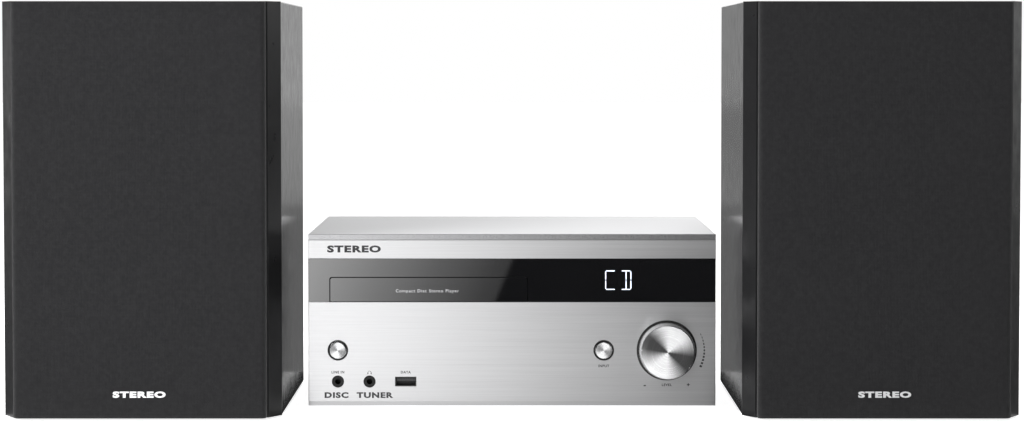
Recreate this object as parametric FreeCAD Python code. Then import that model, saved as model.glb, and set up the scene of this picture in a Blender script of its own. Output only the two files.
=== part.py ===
import FreeCAD, Part
import math
import os

# Mini hifi system: a disc receiver between two bookshelf speakers.
# Millimetres, +Z up, the front faces -Y, and everything stands on Z = 0.
# The receiver is drawn with its front face at Y = 0, a speaker with its
# grille's front at Y = 0, and both are then moved to their places.

# ---------------------------------------------------------------- placing
speaker_gap = 15.5
speaker_lead = 47.0

# --------------------------------------------------------------- receiver
receiver_width = 260.0
receiver_depth = 240.0
receiver_foot_height = 5.0
receiver_foot_radius = 12.0
foot_front_inset = 62.0
foot_rear_inset = 25.0
foot_side_inset = 25.0

lower_band_height = 66.5
window_band_height = 27.6
header_band_height = 12.0
lip_height = 3.8
band_gap = 0.15
fascia_thickness = 3.0
fascia_edge = 0.4
bottom_bevel_height = 3.0
bottom_bevel_depth = 2.0
window_setback = 0.3
lip_setback = 0.6
carrier_depth = 6.0
sheet_thickness = 1.2
sheet_gap = 0.3
pan_thickness = 1.0
pan_flange_height = 15.0

# Controls on the lower band
button_side_inset = 18.8
button_row_height = 35.6
source_spacing = 40.2
knob_side_inset = 31.2
button_hole_radius = 6.6
button_radius = 5.25
button_reach = 2.4
button_flange = 1.0
button_travel = 1.2
button_clearance = 0.3
knob_base_radius = 18.2
knob_face_radius = 17.15
knob_length = 17.0
knob_edge_round = 1.0
knob_gap = 0.3
knob_ring_radius = 19.2
knob_ring_height = 0.5
knob_hollow_radius = 14.0
knob_hollow_depth = 11.0
knob_hub_radius = 5.0
shaft_radius = 3.0
running_clearance = 0.05
bush_hole_radius = 5.6

# Sockets on the lower band
socket_row_height = 15.6
headphone_spacing = 20.2
usb_spacing = 23.1
jack_ring_radius = 3.65
jack_bore_radius = 1.8
jack_bore_depth = 14.0
jack_body_size = 9.5
socket_hole_clearance = 0.25
usb_width = 13.1
usb_height = 5.7
usb_wall = 0.4
usb_depth = 14.0
usb_tongue_height = 1.8
usb_tongue_setback = 1.0

# Boards and modules
board_thickness = 1.6
front_board_setback = 9.0
front_board_height = 48.0
front_board_side_inset = 9.0
switch_size = 6.2
encoder_size = 15.0
display_side_inset = 14.0
display_loader_gap = 8.0
display_margin_z = 3.0
display_depth = 6.0
main_board_height = 9.0
main_board_front = 60.0
main_board_rear_inset = 26.0
standoff_radius = 3.0
heat_sink_length = 70.0
heat_sink_fins = 9
heat_sink_fin_pitch = 5.0
heat_sink_fin_thickness = 1.5
heat_sink_fin_height = 26.0
capacitor_radius = 7.0
capacitor_height = 22.0
supply_width = 55.0
supply_length = 95.0
supply_side_inset = 13.0
transformer_size = 40.0
transformer_height = 36.0

# Disc loader
door_side_inset = 13.9
door_width = 126.0
door_height = 15.6
door_gap = 0.45
door_corner_radius = 1.6
door_thickness = 2.6
tray_width = 124.0
tray_thickness = 4.0
tray_length = 161.0
tray_bottom_above_window = 6.8
tray_travel = 136.0
tray_slide_gap = 0.3
disc_radius = 60.0
disc_clearance = 0.5
disc_recess_depth = 1.2
small_disc_radius = 40.0
disc_centre_depth = 74.0
slot_half_width = 20.0
loader_front = 10.6
loader_length = 161.0
loader_wall = 3.0
loader_wall_height = 32.0
loader_floor_thickness = 2.0
loader_floor_drop = 7.2
loader_ledge = 4.0
loader_lip = 1.2
loader_post_radius = 4.0
gear_module = 1.0
gear_teeth = 20
gear_thickness = 5.0
gear_pin_radius = 2.0
gear_depth = 22.0
gear_side_offset = 34.0
mesh_slack = 0.16
rack_width = 4.0
rack_gap = 0.5
turntable_radius = 14.5
turntable_thickness = 2.5
turntable_hub_radius = 7.3
turntable_hub_height = 4.0
spindle_radius = 1.0
spindle_motor_radius = 12.0
spindle_motor_height = 9.0
sled_half_width = 26.0
sled_length = 22.0
sled_height = 7.0
sled_travel = 36.0
rod_radius = 1.5
rod_half_spacing = 22.0
lens_radius = 4.0

# Back panel
post_pitch_x = 24.0
post_pitch_z = 20.0
post_radius = 2.5
post_length = 20.0
banana_radius = 2.0
banana_depth = 18.0
cap_radius = 6.0
cap_length = 11.0
cap_gap = 0.4
post_plate_margin = 11.0
post_plate_thickness = 2.0
terminals_side_inset = 62.0
terminals_height = 38.0
phono_radius = 4.15
phono_bore_radius = 1.6
phono_length = 9.0
phono_pitch = 14.0
aerial_radius = 4.75
aerial_bore_radius = 1.2
sockets_side_inset = 46.0
sockets_height = 78.0
inlet_width = 28.0
inlet_height = 20.0
inlet_slot_width = 16.6
inlet_slot_height = 8.4
inlet_slot_depth = 9.0
inlet_pin_radius = 1.15
inlet_pin_pitch = 8.3
inlet_side_inset = 36.0
inlet_centre_height = 30.0
vent_slots = 12
vent_pitch = 6.0
vent_width = 2.2
vent_length = 26.0
screw_head_radius = 3.0
screw_head_height = 1.3
screw_shank_radius = 1.5
screw_hole_clearance = 0.1
screw_length = 6.0

# --------------------------------------------------------------- speakers
speaker_width = 175.0
speaker_height = 262.5
speaker_depth = 250.0
pad_height = 1.5
pad_radius = 7.0
pad_inset = 18.0
panel_thickness = 12.0
baffle_thickness = 18.0
baffle_chamfer_width = 7.2
baffle_chamfer_depth = 15.0
cabinet_edge = 0.8
grille_width = 158.6
grille_depth = 8.5
grille_gap = 1.0
grille_margin = 0.8
grille_bar = 14.0
grille_corner = 3.5
cloth_thickness = 1.0
cloth_side = 0.8
peg_radius = 3.9
peg_clearance = 0.1
peg_length = 9.0
peg_inset_x = 9.3
peg_inset_z = 18.0

woofer_flange_radius = 60.0
woofer_hole_radius = 52.5
woofer_bottom_margin = 22.0
flange_thickness = 3.0
driver_clearance = 0.3
surround_outer_radius = 49.2
surround_inner_radius = 44.2
surround_land = 2.4
surround_thickness = 0.8
cone_throat_radius = 12.2
cone_depth = 22.0
cone_thickness = 1.0
former_length = 22.0
former_thickness = 0.6
dust_cap_radius = 16.0
dust_cap_rise = 6.0
dust_cap_wall = 0.9
basket_depth = 41.0
basket_rear_radius = 36.0
basket_wall = 2.0
basket_windows = 6
basket_window_width = 24.0
pole_radius = 11.5
top_plate_thickness = 4.0
magnet_radius = 33.0
magnet_length = 12.0
cone_travel = 3.0

driver_gap = 18.5
tweeter_plate_radius = 40.0
tweeter_top_margin = 20.5
tweeter_hole_radius = 27.0
tweeter_dome_radius = 12.5
tweeter_dome_rise = 4.5
tweeter_magnet_radius = 24.0
tweeter_magnet_length = 18.0
driver_screws_woofer = 6
driver_screws_tweeter = 4

port_radius = 20.0
port_wall = 2.0
port_length = 100.0
port_flange = 6.0
port_flange_height = 2.0
port_top_inset = 50.0
terminal_height = 70.0
terminal_pitch = 30.0

# ---------------------------------------------------------- worked out once
half_width = receiver_width / 2
base_z = receiver_foot_height
window_z = base_z + lower_band_height
header_z = window_z + window_band_height
lip_z = header_z + header_band_height
receiver_top = lip_z + lip_height
carrier_front = fascia_thickness
carrier_back = carrier_front + carrier_depth
board_front = carrier_back + front_board_setback
control_z = base_z + button_row_height
socket_z = base_z + socket_row_height
power_x = -half_width + button_side_inset
knob_x = half_width - knob_side_inset
source_x = knob_x - source_spacing
line_in_x = power_x
headphone_x = line_in_x + headphone_spacing
usb_x = headphone_x + usb_spacing
back_front = receiver_depth - sheet_thickness
inner_half_width = half_width - sheet_thickness - sheet_gap
pan_top = base_z + pan_thickness

door_x = -half_width + door_side_inset + door_width / 2
door_top = window_z + door_height
tray_z = window_z + tray_bottom_above_window
tray_top = tray_z + tray_thickness
tray_front = window_setback + door_thickness
loader_wall_x = tray_width / 2 + tray_slide_gap
loader_floor_z = window_z - loader_floor_drop
loader_back = loader_front + loader_length
loader_right = door_x + loader_wall_x + loader_wall
gear_pitch_radius = gear_module * gear_teeth / 2
gear_x = door_x + gear_side_offset
gear_top = tray_z - rack_gap
gear_bottom = gear_top - gear_thickness
rack_pitch_x = gear_x + gear_pitch_radius + mesh_slack / 2
rack_bottom = window_z + 1.0
turntable_z = tray_z - rack_gap - turntable_thickness
rod_z = loader_floor_z + sled_height / 2 + rod_radius
sled_rest_front = disc_centre_depth + turntable_radius + rod_radius
sled_rear = sled_rest_front + sled_length + sled_travel
terminals_x = half_width - terminals_side_inset
sockets_x = -half_width + sockets_side_inset
inlet_x = half_width - inlet_side_inset
screw_hole_radius = screw_shank_radius + screw_hole_clearance

speaker_half = speaker_width / 2
baffle_front = grille_depth + grille_gap
baffle_back = baffle_front + baffle_thickness
cabinet_bottom = pad_height
# The three margins round the two drivers share whatever height is left
driver_margins = woofer_bottom_margin + driver_gap + tweeter_top_margin
height_left = speaker_height - cabinet_bottom - 2 * (woofer_flange_radius + tweeter_plate_radius)
margin_scale = height_left / driver_margins
woofer_z = cabinet_bottom + woofer_bottom_margin * margin_scale + woofer_flange_radius
tweeter_z = speaker_height - tweeter_top_margin * margin_scale - tweeter_plate_radius
port_z = speaker_height - port_top_inset
flange_back = baffle_front + flange_thickness
inner_half = speaker_half - panel_thickness
rim_y = flange_back - 0.5

overall_front = -speaker_lead
overall_back = receiver_depth + post_length
frame_shift = -(overall_front + overall_back) / 2
speaker_x = half_width + speaker_gap + speaker_half


# ----------------------------------------------------------------- helpers
def vec(x, y, z):
    return FreeCAD.Vector(x, y, z)


def block(x0, x1, y0, y1, z0, z1):
    return Part.makeBox(x1 - x0, y1 - y0, z1 - z0, vec(x0, y0, z0))


def rod_along_y(x, z, radius, y0, y1):
    return Part.makeCylinder(radius, y1 - y0, vec(x, y0, z), vec(0, 1, 0))


def rod_along_z(x, y, radius, z0, z1):
    return Part.makeCylinder(radius, z1 - z0, vec(x, y, z0))


def rod_along_x(y, z, radius, x0, x1):
    return Part.makeCylinder(radius, x1 - x0, vec(x0, y, z), vec(1, 0, 0))


def tube_along_y(x, z, outer, inner, y0, y1):
    return rod_along_y(x, z, outer, y0, y1).cut(rod_along_y(x, z, inner, y0, y1))


def turned(edges, x, z):
    """A solid of revolution about an axis along Y through (x, z)."""
    face = Part.Face(Part.Wire(edges))
    solid = face.revolve(vec(0, 0, 0), vec(0, 1, 0), 360)
    solid = Part.Solid(solid.Shells[0]) if solid.ShapeType != "Solid" else solid
    if solid.Volume < 0:
        solid.reverse()
    solid.translate(vec(x, 0, z))
    return solid


def turned_outline(points, x, z):
    """A turned solid whose half-section is straight lines through (radius, y)."""
    corners = [vec(radius, y, 0) for radius, y in points]
    return turned(Part.makePolygon(corners + corners[:1]).Edges, x, z)


def line(a, b):
    return Part.LineSegment(vec(*a, 0), vec(*b, 0)).toShape()


def arc(a, middle, b):
    return Part.Arc(vec(*a, 0), vec(*middle, 0), vec(*b, 0)).toShape()


def dome_arc(apex, radius, rim):
    """A spherical arc from the axis at apex out to (radius, rim)."""
    rise = rim - apex
    sphere = (radius * radius + rise * rise) / (2 * rise)
    half_radius = radius / 2
    return arc((0, apex), (half_radius, apex + sphere - math.sqrt(sphere ** 2 - half_radius ** 2)), (radius, rim))


def slab_along_z(points, z0, z1):
    """A straight-sided solid standing on an outline of (x, y) points."""
    corners = [vec(x, y, z0) for x, y in points]
    return Part.Face(Part.makePolygon(corners + corners[:1])).extrude(vec(0, 0, z1 - z0))


def slab_along_x(points, x0, x1):
    """A straight-sided solid along X on an outline of (y, z) points."""
    corners = [vec(x0, y, z) for y, z in points]
    return Part.Face(Part.makePolygon(corners + corners[:1])).extrude(vec(x1 - x0, 0, 0))


def ring_points(count, radius, turn=0.0):
    for index in range(count):
        angle = turn + 2 * math.pi * index / count
        yield radius * math.cos(angle), radius * math.sin(angle)


def fuse_all(shapes):
    return shapes[0].multiFuse(shapes[1:]).removeSplitter() if len(shapes) > 1 else shapes[0]


def cut_all(shape, tools):
    return shape.cut(Part.makeCompound(tools)) if tools else shape


def group(shapes):
    return Part.makeCompound(shapes)


def edges_where(shape, test):
    return [edge for edge in shape.Edges if test(edge.CenterOfMass, edge)]


def upright(edge):
    box = edge.BoundBox
    return box.XLength < 0.01 and box.YLength < 0.01


def level(edge):
    box = edge.BoundBox
    return box.YLength < 0.01 and box.ZLength < 0.01


def screw_y(x, y, z, direction):
    """A pan-head screw whose head stands off the plane at y, its shank behind."""
    head = Part.makeCylinder(screw_head_radius, screw_head_height, vec(x, y, z), vec(0, direction, 0))
    slot = block(-0.4, 0.4, -0.4, 0.4, -screw_head_radius, screw_head_radius)
    slot.translate(vec(x, y + direction * screw_head_height, z))
    cross = slot.copy()
    cross.rotate(vec(x, y, z), vec(0, 1, 0), 90)
    shank = Part.makeCylinder(screw_shank_radius, screw_length, vec(x, y, z), vec(0, -direction, 0))
    return head.cut(slot).cut(cross).fuse(shank)


def screw_x(x, y, z, direction):
    """The same screw, set in a side wall."""
    screw = screw_y(0, 0, 0, -1)
    screw.rotate(vec(0, 0, 0), vec(0, 0, 1), -90 * direction)
    screw.rotate(vec(0, 0, 0), vec(0, 0, 1), 180)
    screw.translate(vec(x, y, z))
    return screw


# ------------------------------------------------------- receiver: the case
def side_screw_places():
    for side in (-1, 1):
        for depth in (foot_front_inset, receiver_depth - foot_rear_inset - pan_flange_height):
            yield side, depth, base_z + pan_flange_height / 2


def back_screw_places():
    inset = screw_head_radius * 2
    for side in (-1, 1):
        for height in (pan_top + inset, receiver_top - sheet_thickness - inset):
            yield side * (inner_half_width - inset), height


def chassis_pan():
    floor = block(-inner_half_width, inner_half_width, carrier_front, back_front - sheet_gap, base_z, pan_top)
    flange_z = base_z + pan_flange_height
    parts = [floor]
    for side in (-1, 1):
        outer = side * inner_half_width
        inner = side * (inner_half_width - pan_thickness)
        flange = block(min(outer, inner), max(outer, inner), carrier_back + 1, back_front - sheet_gap,
                       pan_top, flange_z)
        parts.append(flange)
    for x, y in board_corners():
        parts.append(rod_along_z(x, y, standoff_radius, pan_top, pan_top + main_board_height))
    pan = fuse_all(parts)
    holes = [rod_along_x(y, z, screw_hole_radius, *sorted((side * (inner_half_width - 9), side * half_width)))
             for side, y, z in side_screw_places()]
    return cut_all(pan, holes)


def top_cover():
    outer = block(-half_width, half_width, fascia_thickness, receiver_depth, pan_top, receiver_top)
    inner = block(-half_width + sheet_thickness, half_width - sheet_thickness, fascia_thickness - 1,
                  receiver_depth + 1, pan_top - 1, receiver_top - sheet_thickness)
    nose = block(-half_width, half_width, lip_setback, fascia_thickness, receiver_top - sheet_thickness,
                 receiver_top)
    lip = block(-half_width, half_width, lip_setback, lip_setback + sheet_thickness, lip_z + band_gap,
                receiver_top)
    cover = fuse_all([outer.cut(inner), nose, lip])
    top_edges = edges_where(cover, lambda c, e: abs(c.z - receiver_top) < 0.01
                            and (abs(abs(c.x) - half_width) < 0.01 or abs(c.y - lip_setback) < 0.01))
    cover = cover.makeFillet(fascia_edge, top_edges)
    holes = [rod_along_x(y, z, screw_hole_radius, *sorted((side * (half_width - 9), side * (half_width + 1))))
             for side, y, z in side_screw_places()]
    return cut_all(cover, holes)


def back_openings():
    plate_x = post_pitch_x / 2 + post_radius + 1.5
    plate_z = post_pitch_z / 2 + post_radius + 1.5
    y0 = back_front - 1
    y1 = receiver_depth + 1
    tools = [block(terminals_x - plate_x, terminals_x + plate_x, y0, y1,
                   base_z + terminals_height - plate_z, base_z + terminals_height + plate_z)]
    tools.append(block(inlet_x - inlet_width / 2 - socket_hole_clearance,
                       inlet_x + inlet_width / 2 + socket_hole_clearance, y0, y1,
                       base_z + sockets_height - inlet_height / 2 - socket_hole_clearance,
                       base_z + sockets_height + inlet_height / 2 + socket_hole_clearance))
    for x, radius in rear_socket_places():
        tools.append(rod_along_y(x, base_z + sockets_height, radius + socket_hole_clearance, y0, y1))
    for x, z in back_screw_places():
        tools.append(rod_along_y(x, z, screw_hole_radius, y0, y1))
    for index in range(vent_slots):
        x = sockets_x - vent_pitch * (vent_slots - 1) / 2 + vent_pitch * index
        tools.append(block(x - vent_width / 2, x + vent_width / 2, y0, y1,
                           base_z + inlet_centre_height - vent_length / 2,
                           base_z + inlet_centre_height + vent_length / 2))
    return tools


def back_panel():
    panel = block(-inner_half_width, inner_half_width, back_front, receiver_depth, pan_top,
                  receiver_top - sheet_thickness - sheet_gap)
    return cut_all(panel, back_openings())


def receiver_feet():
    feet = []
    for side in (-1, 1):
        for y in (foot_front_inset, receiver_depth - foot_rear_inset):
            x = side * (half_width - foot_side_inset)
            foot = rod_along_z(x, y, receiver_foot_radius, 0, receiver_foot_height)
            rims = edges_where(foot, lambda c, e: abs(c.z) < 0.01)
            feet.append(foot.makeChamfer(0.8, rims))
    return group(feet)


def case_screws():
    screws = [screw_y(x, receiver_depth, z, 1) for x, z in back_screw_places()]
    screws += [screw_x(side * half_width, y, z, side) for side, y, z in side_screw_places()]
    return group(screws)


# ------------------------------------------------------ receiver: the front
def control_holes(y0, y1, button_hole, jack_hole, bush_hole, usb_clearance):
    tools = [rod_along_y(x, control_z, button_hole, y0, y1) for x in (power_x, source_x)]
    tools.append(rod_along_y(knob_x, control_z, bush_hole, y0, y1))
    tools += [rod_along_y(x, socket_z, jack_hole, y0, y1) for x in (line_in_x, headphone_x)]
    tools.append(block(usb_x - usb_width / 2 - usb_clearance, usb_x + usb_width / 2 + usb_clearance, y0, y1,
                       socket_z - usb_height / 2 - usb_clearance, socket_z + usb_height / 2 + usb_clearance))
    return tools


def fascia_panel():
    top = window_z - band_gap
    section = [(0, base_z + bottom_bevel_height), (bottom_bevel_depth, base_z), (fascia_thickness, base_z),
               (fascia_thickness, top), (0, top)]
    plate = slab_along_x(section, -half_width, half_width)
    rims = edges_where(plate, lambda c, e: abs(c.y) < 0.01 and abs(abs(c.x) - half_width) < 0.01)
    plate = plate.makeChamfer(fascia_edge, rims)
    return cut_all(plate, control_holes(-1, fascia_thickness + 1, button_hole_radius,
                                        jack_ring_radius + socket_hole_clearance, bush_hole_radius,
                                        socket_hole_clearance))


def fascia_header():
    plate = block(-half_width, half_width, 0, fascia_thickness, header_z + band_gap, lip_z)
    rims = edges_where(plate, lambda c, e: abs(c.y) < 0.01)
    return plate.makeChamfer(fascia_edge / 2, rims)


def door_outline(clearance, y0, y1):
    """The drawer front's block with its small upper corners, grown by a clearance."""
    half = door_width / 2 + clearance
    shape = block(door_x - half, door_x + half, y0, y1, window_z + band_gap - clearance, door_top + clearance)
    corners = edges_where(shape, lambda c, e: abs(c.z - door_top - clearance) < 0.01
                          and abs(abs(c.x - door_x) - half) < 0.01)
    return shape.makeFillet(door_corner_radius, corners)


def display_window():
    plate = block(-half_width, half_width, window_setback, fascia_thickness, window_z, header_z)
    rims = edges_where(plate, lambda c, e: abs(c.y - window_setback) < 0.01 and upright(e))
    plate = plate.makeChamfer(fascia_edge, rims)
    return plate.cut(door_outline(door_gap, -1, fascia_thickness + 1))


def display_span():
    return loader_right + display_loader_gap, half_width - display_side_inset


def fascia_carrier():
    frame = block(-inner_half_width, inner_half_width, carrier_front, carrier_back, pan_top, lip_z - band_gap)
    y0 = carrier_front - 1
    y1 = carrier_back + 1
    tools = control_holes(y0, y1, button_radius + button_clearance, jack_ring_radius + socket_hole_clearance,
                          bush_hole_radius, socket_hole_clearance)
    half = tray_width / 2 + door_gap * 3
    tools.append(block(door_x - half, door_x + half, y0, y1, window_z + band_gap, door_top))
    left, right = display_span()
    tools.append(block(left, right, y0, y1, window_z + display_margin_z, header_z - display_margin_z))
    frame = cut_all(frame, tools)
    bosses = []
    for side in (-1, 1):
        x = side * (half_width - front_board_side_inset - standoff_radius * 2)
        bosses.append(rod_along_y(x, control_z + socket_row_height, standoff_radius, carrier_back, board_front))
    return fuse_all([frame] + bosses)


def tray_door():
    y1 = window_setback + door_thickness
    door = door_outline(0, window_setback, y1)
    rims = edges_where(door, lambda c, e: abs(c.y - window_setback) < 0.01)
    return door.makeChamfer(fascia_edge / 2, rims)


def push_button(x):
    front = -button_reach
    rear = carrier_back + button_flange / 2
    cap = rod_along_y(x, control_z, button_radius, front, rear)
    rims = edges_where(cap, lambda c, e: abs(c.y - front) < 0.01)
    cap = cap.makeFillet(fascia_edge, rims)
    flange = rod_along_y(x, control_z, button_radius + button_flange, rear, rear + button_flange)
    return cap.fuse(flange)


def knob_ring():
    ring = tube_along_y(knob_x, control_z, knob_ring_radius, bush_hole_radius, -knob_ring_height, 0)
    rims = edges_where(ring, lambda c, e: abs(c.y + knob_ring_height) < 0.01
                       and e.BoundBox.XLength > 2 * knob_ring_radius - 0.1)
    return ring.makeChamfer(knob_ring_height / 2, rims)


def volume_knob():
    back = -knob_ring_height - knob_gap
    front = back - knob_length
    shaft_end = board_front - encoder_size / 4
    bend = knob_edge_round * (1 - math.sqrt(0.5))
    edges = [line((0, front), (knob_face_radius - knob_edge_round, front)),
             arc((knob_face_radius - knob_edge_round, front), (knob_face_radius - bend, front + bend),
                 (knob_face_radius, front + knob_edge_round)),
             line((knob_face_radius, front + knob_edge_round), (knob_base_radius, back)),
             line((knob_base_radius, back), (knob_hollow_radius, back)),
             line((knob_hollow_radius, back), (knob_hollow_radius, back - knob_hollow_depth)),
             line((knob_hollow_radius, back - knob_hollow_depth), (knob_hub_radius, back - knob_hollow_depth)),
             line((knob_hub_radius, back - knob_hollow_depth), (knob_hub_radius, back)),
             line((knob_hub_radius, back), (shaft_radius, back)),
             line((shaft_radius, back), (shaft_radius, shaft_end)),
             line((shaft_radius, shaft_end), (0, shaft_end)),
             line((0, shaft_end), (0, front))]
    return turned(edges, knob_x, control_z)


def front_board():
    half = half_width - front_board_side_inset
    low = pan_top + 3
    board = block(-half, half, board_front, board_front + board_thickness, low, low + front_board_height)
    parts = [board]
    for x in (power_x, source_x):
        flange_back_y = carrier_back + button_flange * 1.5
        parts.append(block(x - switch_size / 2, x + switch_size / 2, flange_back_y + button_travel + 0.5,
                           board_front, control_z - switch_size / 2, control_z + switch_size / 2))
    encoder = block(knob_x - encoder_size / 2, knob_x + encoder_size / 2, carrier_back + 0.3, board_front,
                    control_z - encoder_size / 2, control_z + encoder_size / 2)
    encoder = encoder.cut(rod_along_y(knob_x, control_z, shaft_radius + running_clearance, carrier_back,
                                      board_front - encoder_size / 4 + 0.5))
    return group(parts + [encoder])


def jack_socket(x):
    half = jack_body_size / 2
    body = block(x - half, x + half, carrier_back, board_front, socket_z - half, socket_z + half)
    barrel = rod_along_y(x, socket_z, jack_ring_radius, -knob_ring_height, carrier_back)
    rims = edges_where(barrel, lambda c, e: abs(c.y + knob_ring_height) < 0.01)
    barrel = barrel.makeChamfer(knob_ring_height * 0.6, rims)
    bore = rod_along_y(x, socket_z, jack_bore_radius, -2, jack_bore_depth)
    return body.fuse(barrel).cut(bore)


def front_sockets():
    return group([jack_socket(line_in_x), jack_socket(headphone_x)])


def usb_socket():
    half_x = usb_width / 2
    half_z = usb_height / 2
    shell = block(usb_x - half_x, usb_x + half_x, 0, usb_depth, socket_z - half_z, socket_z + half_z)
    hollow = block(usb_x - half_x + usb_wall, usb_x + half_x - usb_wall, -1, usb_depth - 2,
                   socket_z - half_z + usb_wall, socket_z + half_z - usb_wall)
    tongue_x = half_x - usb_wall * 2
    tongue_top = socket_z + half_z - usb_wall * 2
    tongue = block(usb_x - tongue_x, usb_x + tongue_x, usb_tongue_setback, usb_depth - 2,
                   tongue_top - usb_tongue_height, tongue_top)
    return group([shell.cut(hollow), tongue])


def display_module():
    left, right = display_span()
    gap = sheet_gap
    case = block(left + gap, right - gap, carrier_front, carrier_back + display_depth,
                 window_z + display_margin_z + gap, header_z - display_margin_z - gap)
    pins = []
    for index in range(8):
        x = left + (right - left) * (index + 1.5) / 10
        pins.append(block(x - 0.4, x + 0.4, carrier_back + display_depth, carrier_back + display_depth + 4,
                          window_z + display_margin_z + 2, window_z + display_margin_z + 2.8))
    return fuse_all([case] + pins)


# ----------------------------------------------------- receiver: the loader
def tray_slot(y1):
    """The gap for the turntable and the pickup, open at the tray's rear."""
    round_end = rod_along_z(door_x, disc_centre_depth, slot_half_width, tray_z - 1, tray_top + 1)
    return round_end.fuse(block(door_x - slot_half_width, door_x + slot_half_width, disc_centre_depth, y1,
                                tray_z - 1, tray_top + 1))


def rack_teeth():
    """Straight-flanked teeth that point back towards the gear."""
    pitch = math.pi * gear_module
    half = pitch / 4 - mesh_slack / 4
    lean = math.tan(math.radians(20)) * gear_module
    root_x = rack_pitch_x + gear_module * 1.25
    tip_x = rack_pitch_x - gear_module * 0.9
    first = tray_front + pitch * 3
    count = int((tray_length - pitch * 5) / pitch)
    start = gear_depth + pitch / 2 - pitch * int((gear_depth - first) / pitch)
    teeth = []
    for index in range(count):
        y = start + pitch * index
        outline = [(root_x, y - half - lean * 1.25), (tip_x, y - half + lean * 0.9),
                   (tip_x, y + half - lean * 0.9), (root_x, y + half + lean * 1.25)]
        teeth.append(slab_along_z(outline, rack_bottom, tray_z))
    bar = block(root_x, root_x + rack_width, start - pitch, start + pitch * count, rack_bottom, tray_z)
    return [bar] + teeth


def disc_tray():
    half = tray_width / 2
    back = tray_front + tray_length
    plate = block(door_x - half, door_x + half, tray_front, back, tray_z, tray_top)
    corners = edges_where(plate, lambda c, e: upright(e) and c.y > back - 1)
    plate = plate.makeFillet(6, corners)
    plate = plate.cut(tray_slot(back + 1))
    recess = rod_along_z(door_x, disc_centre_depth, disc_radius + disc_clearance,
                         tray_top - disc_recess_depth, tray_top + 1)
    small = rod_along_z(door_x, disc_centre_depth, small_disc_radius + disc_clearance,
                        tray_top - disc_recess_depth * 1.7, tray_top + 1)
    return fuse_all([plate.cut(recess).cut(small)] + rack_teeth())


def involute(base_radius, roll, turn):
    """A point of an involute, unrolled by roll and then turned about the centre."""
    x = base_radius * (math.cos(roll) + roll * math.sin(roll))
    y = base_radius * (math.sin(roll) - roll * math.cos(roll))
    return (x * math.cos(turn) - y * math.sin(turn), x * math.sin(turn) + y * math.cos(turn))


def loading_gear():
    """A spur gear with one tooth centred on +X, where it meets the rack."""
    pressure = math.radians(20)
    base_radius = gear_pitch_radius * math.cos(pressure)
    tip = gear_pitch_radius + gear_module * 0.9
    root = gear_pitch_radius - gear_module * 1.25
    half_tooth = math.pi / 2 / gear_teeth - mesh_slack / 4 / gear_pitch_radius
    spread = half_tooth + math.tan(pressure) - pressure
    roll_tip = math.sqrt((tip / base_radius) ** 2 - 1)
    core = rod_along_z(0, 0, root + 0.01, 0, gear_thickness)
    teeth = []
    for index in range(gear_teeth):
        centre = 2 * math.pi * index / gear_teeth
        low = [involute(base_radius, roll_tip * share, centre - spread) for share in (0.0, 0.5, 1.0)]
        high = []
        for share in (1.0, 0.5, 0.0):
            x, y = involute(base_radius, roll_tip * share, -spread)
            turned_x = x * math.cos(centre) + y * math.sin(centre)
            turned_y = x * math.sin(centre) - y * math.cos(centre)
            high.append((turned_x, turned_y))
        inner_low = (root * 0.97 * math.cos(centre - spread), root * 0.97 * math.sin(centre - spread))
        inner_high = (root * 0.97 * math.cos(centre + spread), root * 0.97 * math.sin(centre + spread))
        edges = [line(inner_low, low[0]), arc(*low), line(low[2], high[0]), arc(*high),
                 line(high[2], inner_high), line(inner_high, inner_low)]
        teeth.append(Part.Face(Part.Wire(edges)).extrude(vec(0, 0, gear_thickness)))
    gear = fuse_all([core] + teeth)
    gear = gear.cut(rod_along_z(0, 0, gear_pin_radius + running_clearance, -1, gear_thickness + 1))
    gear.translate(vec(gear_x, gear_depth, gear_bottom))
    return gear


def guide_rods():
    y0 = sled_rest_front - rod_radius * 2
    y1 = sled_rear + rod_radius * 4
    rods = [rod_along_y(door_x + side * rod_half_spacing, rod_z, rod_radius, y0, y1) for side in (-1, 1)]
    return rods, y0, y1


def loader_side(side):
    inner = door_x + side * loader_wall_x
    outer = inner + side * loader_wall
    ledge = inner - side * loader_ledge
    lip = inner - side * loader_lip
    low = loader_floor_z - loader_floor_thickness
    wall = block(min(inner, outer), max(inner, outer), loader_front, loader_back, low, low + loader_wall_height)
    shelf = block(min(inner, ledge), max(inner, ledge), loader_front, loader_back,
                  tray_z - tray_slide_gap - 2, tray_z - tray_slide_gap)
    hold = block(min(inner, lip), max(inner, lip), loader_front, loader_back,
                 tray_top + tray_slide_gap, tray_top + tray_slide_gap + 1.5)
    return [wall, shelf, hold]


def loader_posts():
    half = loader_wall_x - loader_post_radius
    for side in (-1, 1):
        for y in (board_front + board_thickness + loader_post_radius * 2, loader_back - loader_post_radius * 2):
            yield door_x + side * half, y


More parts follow.
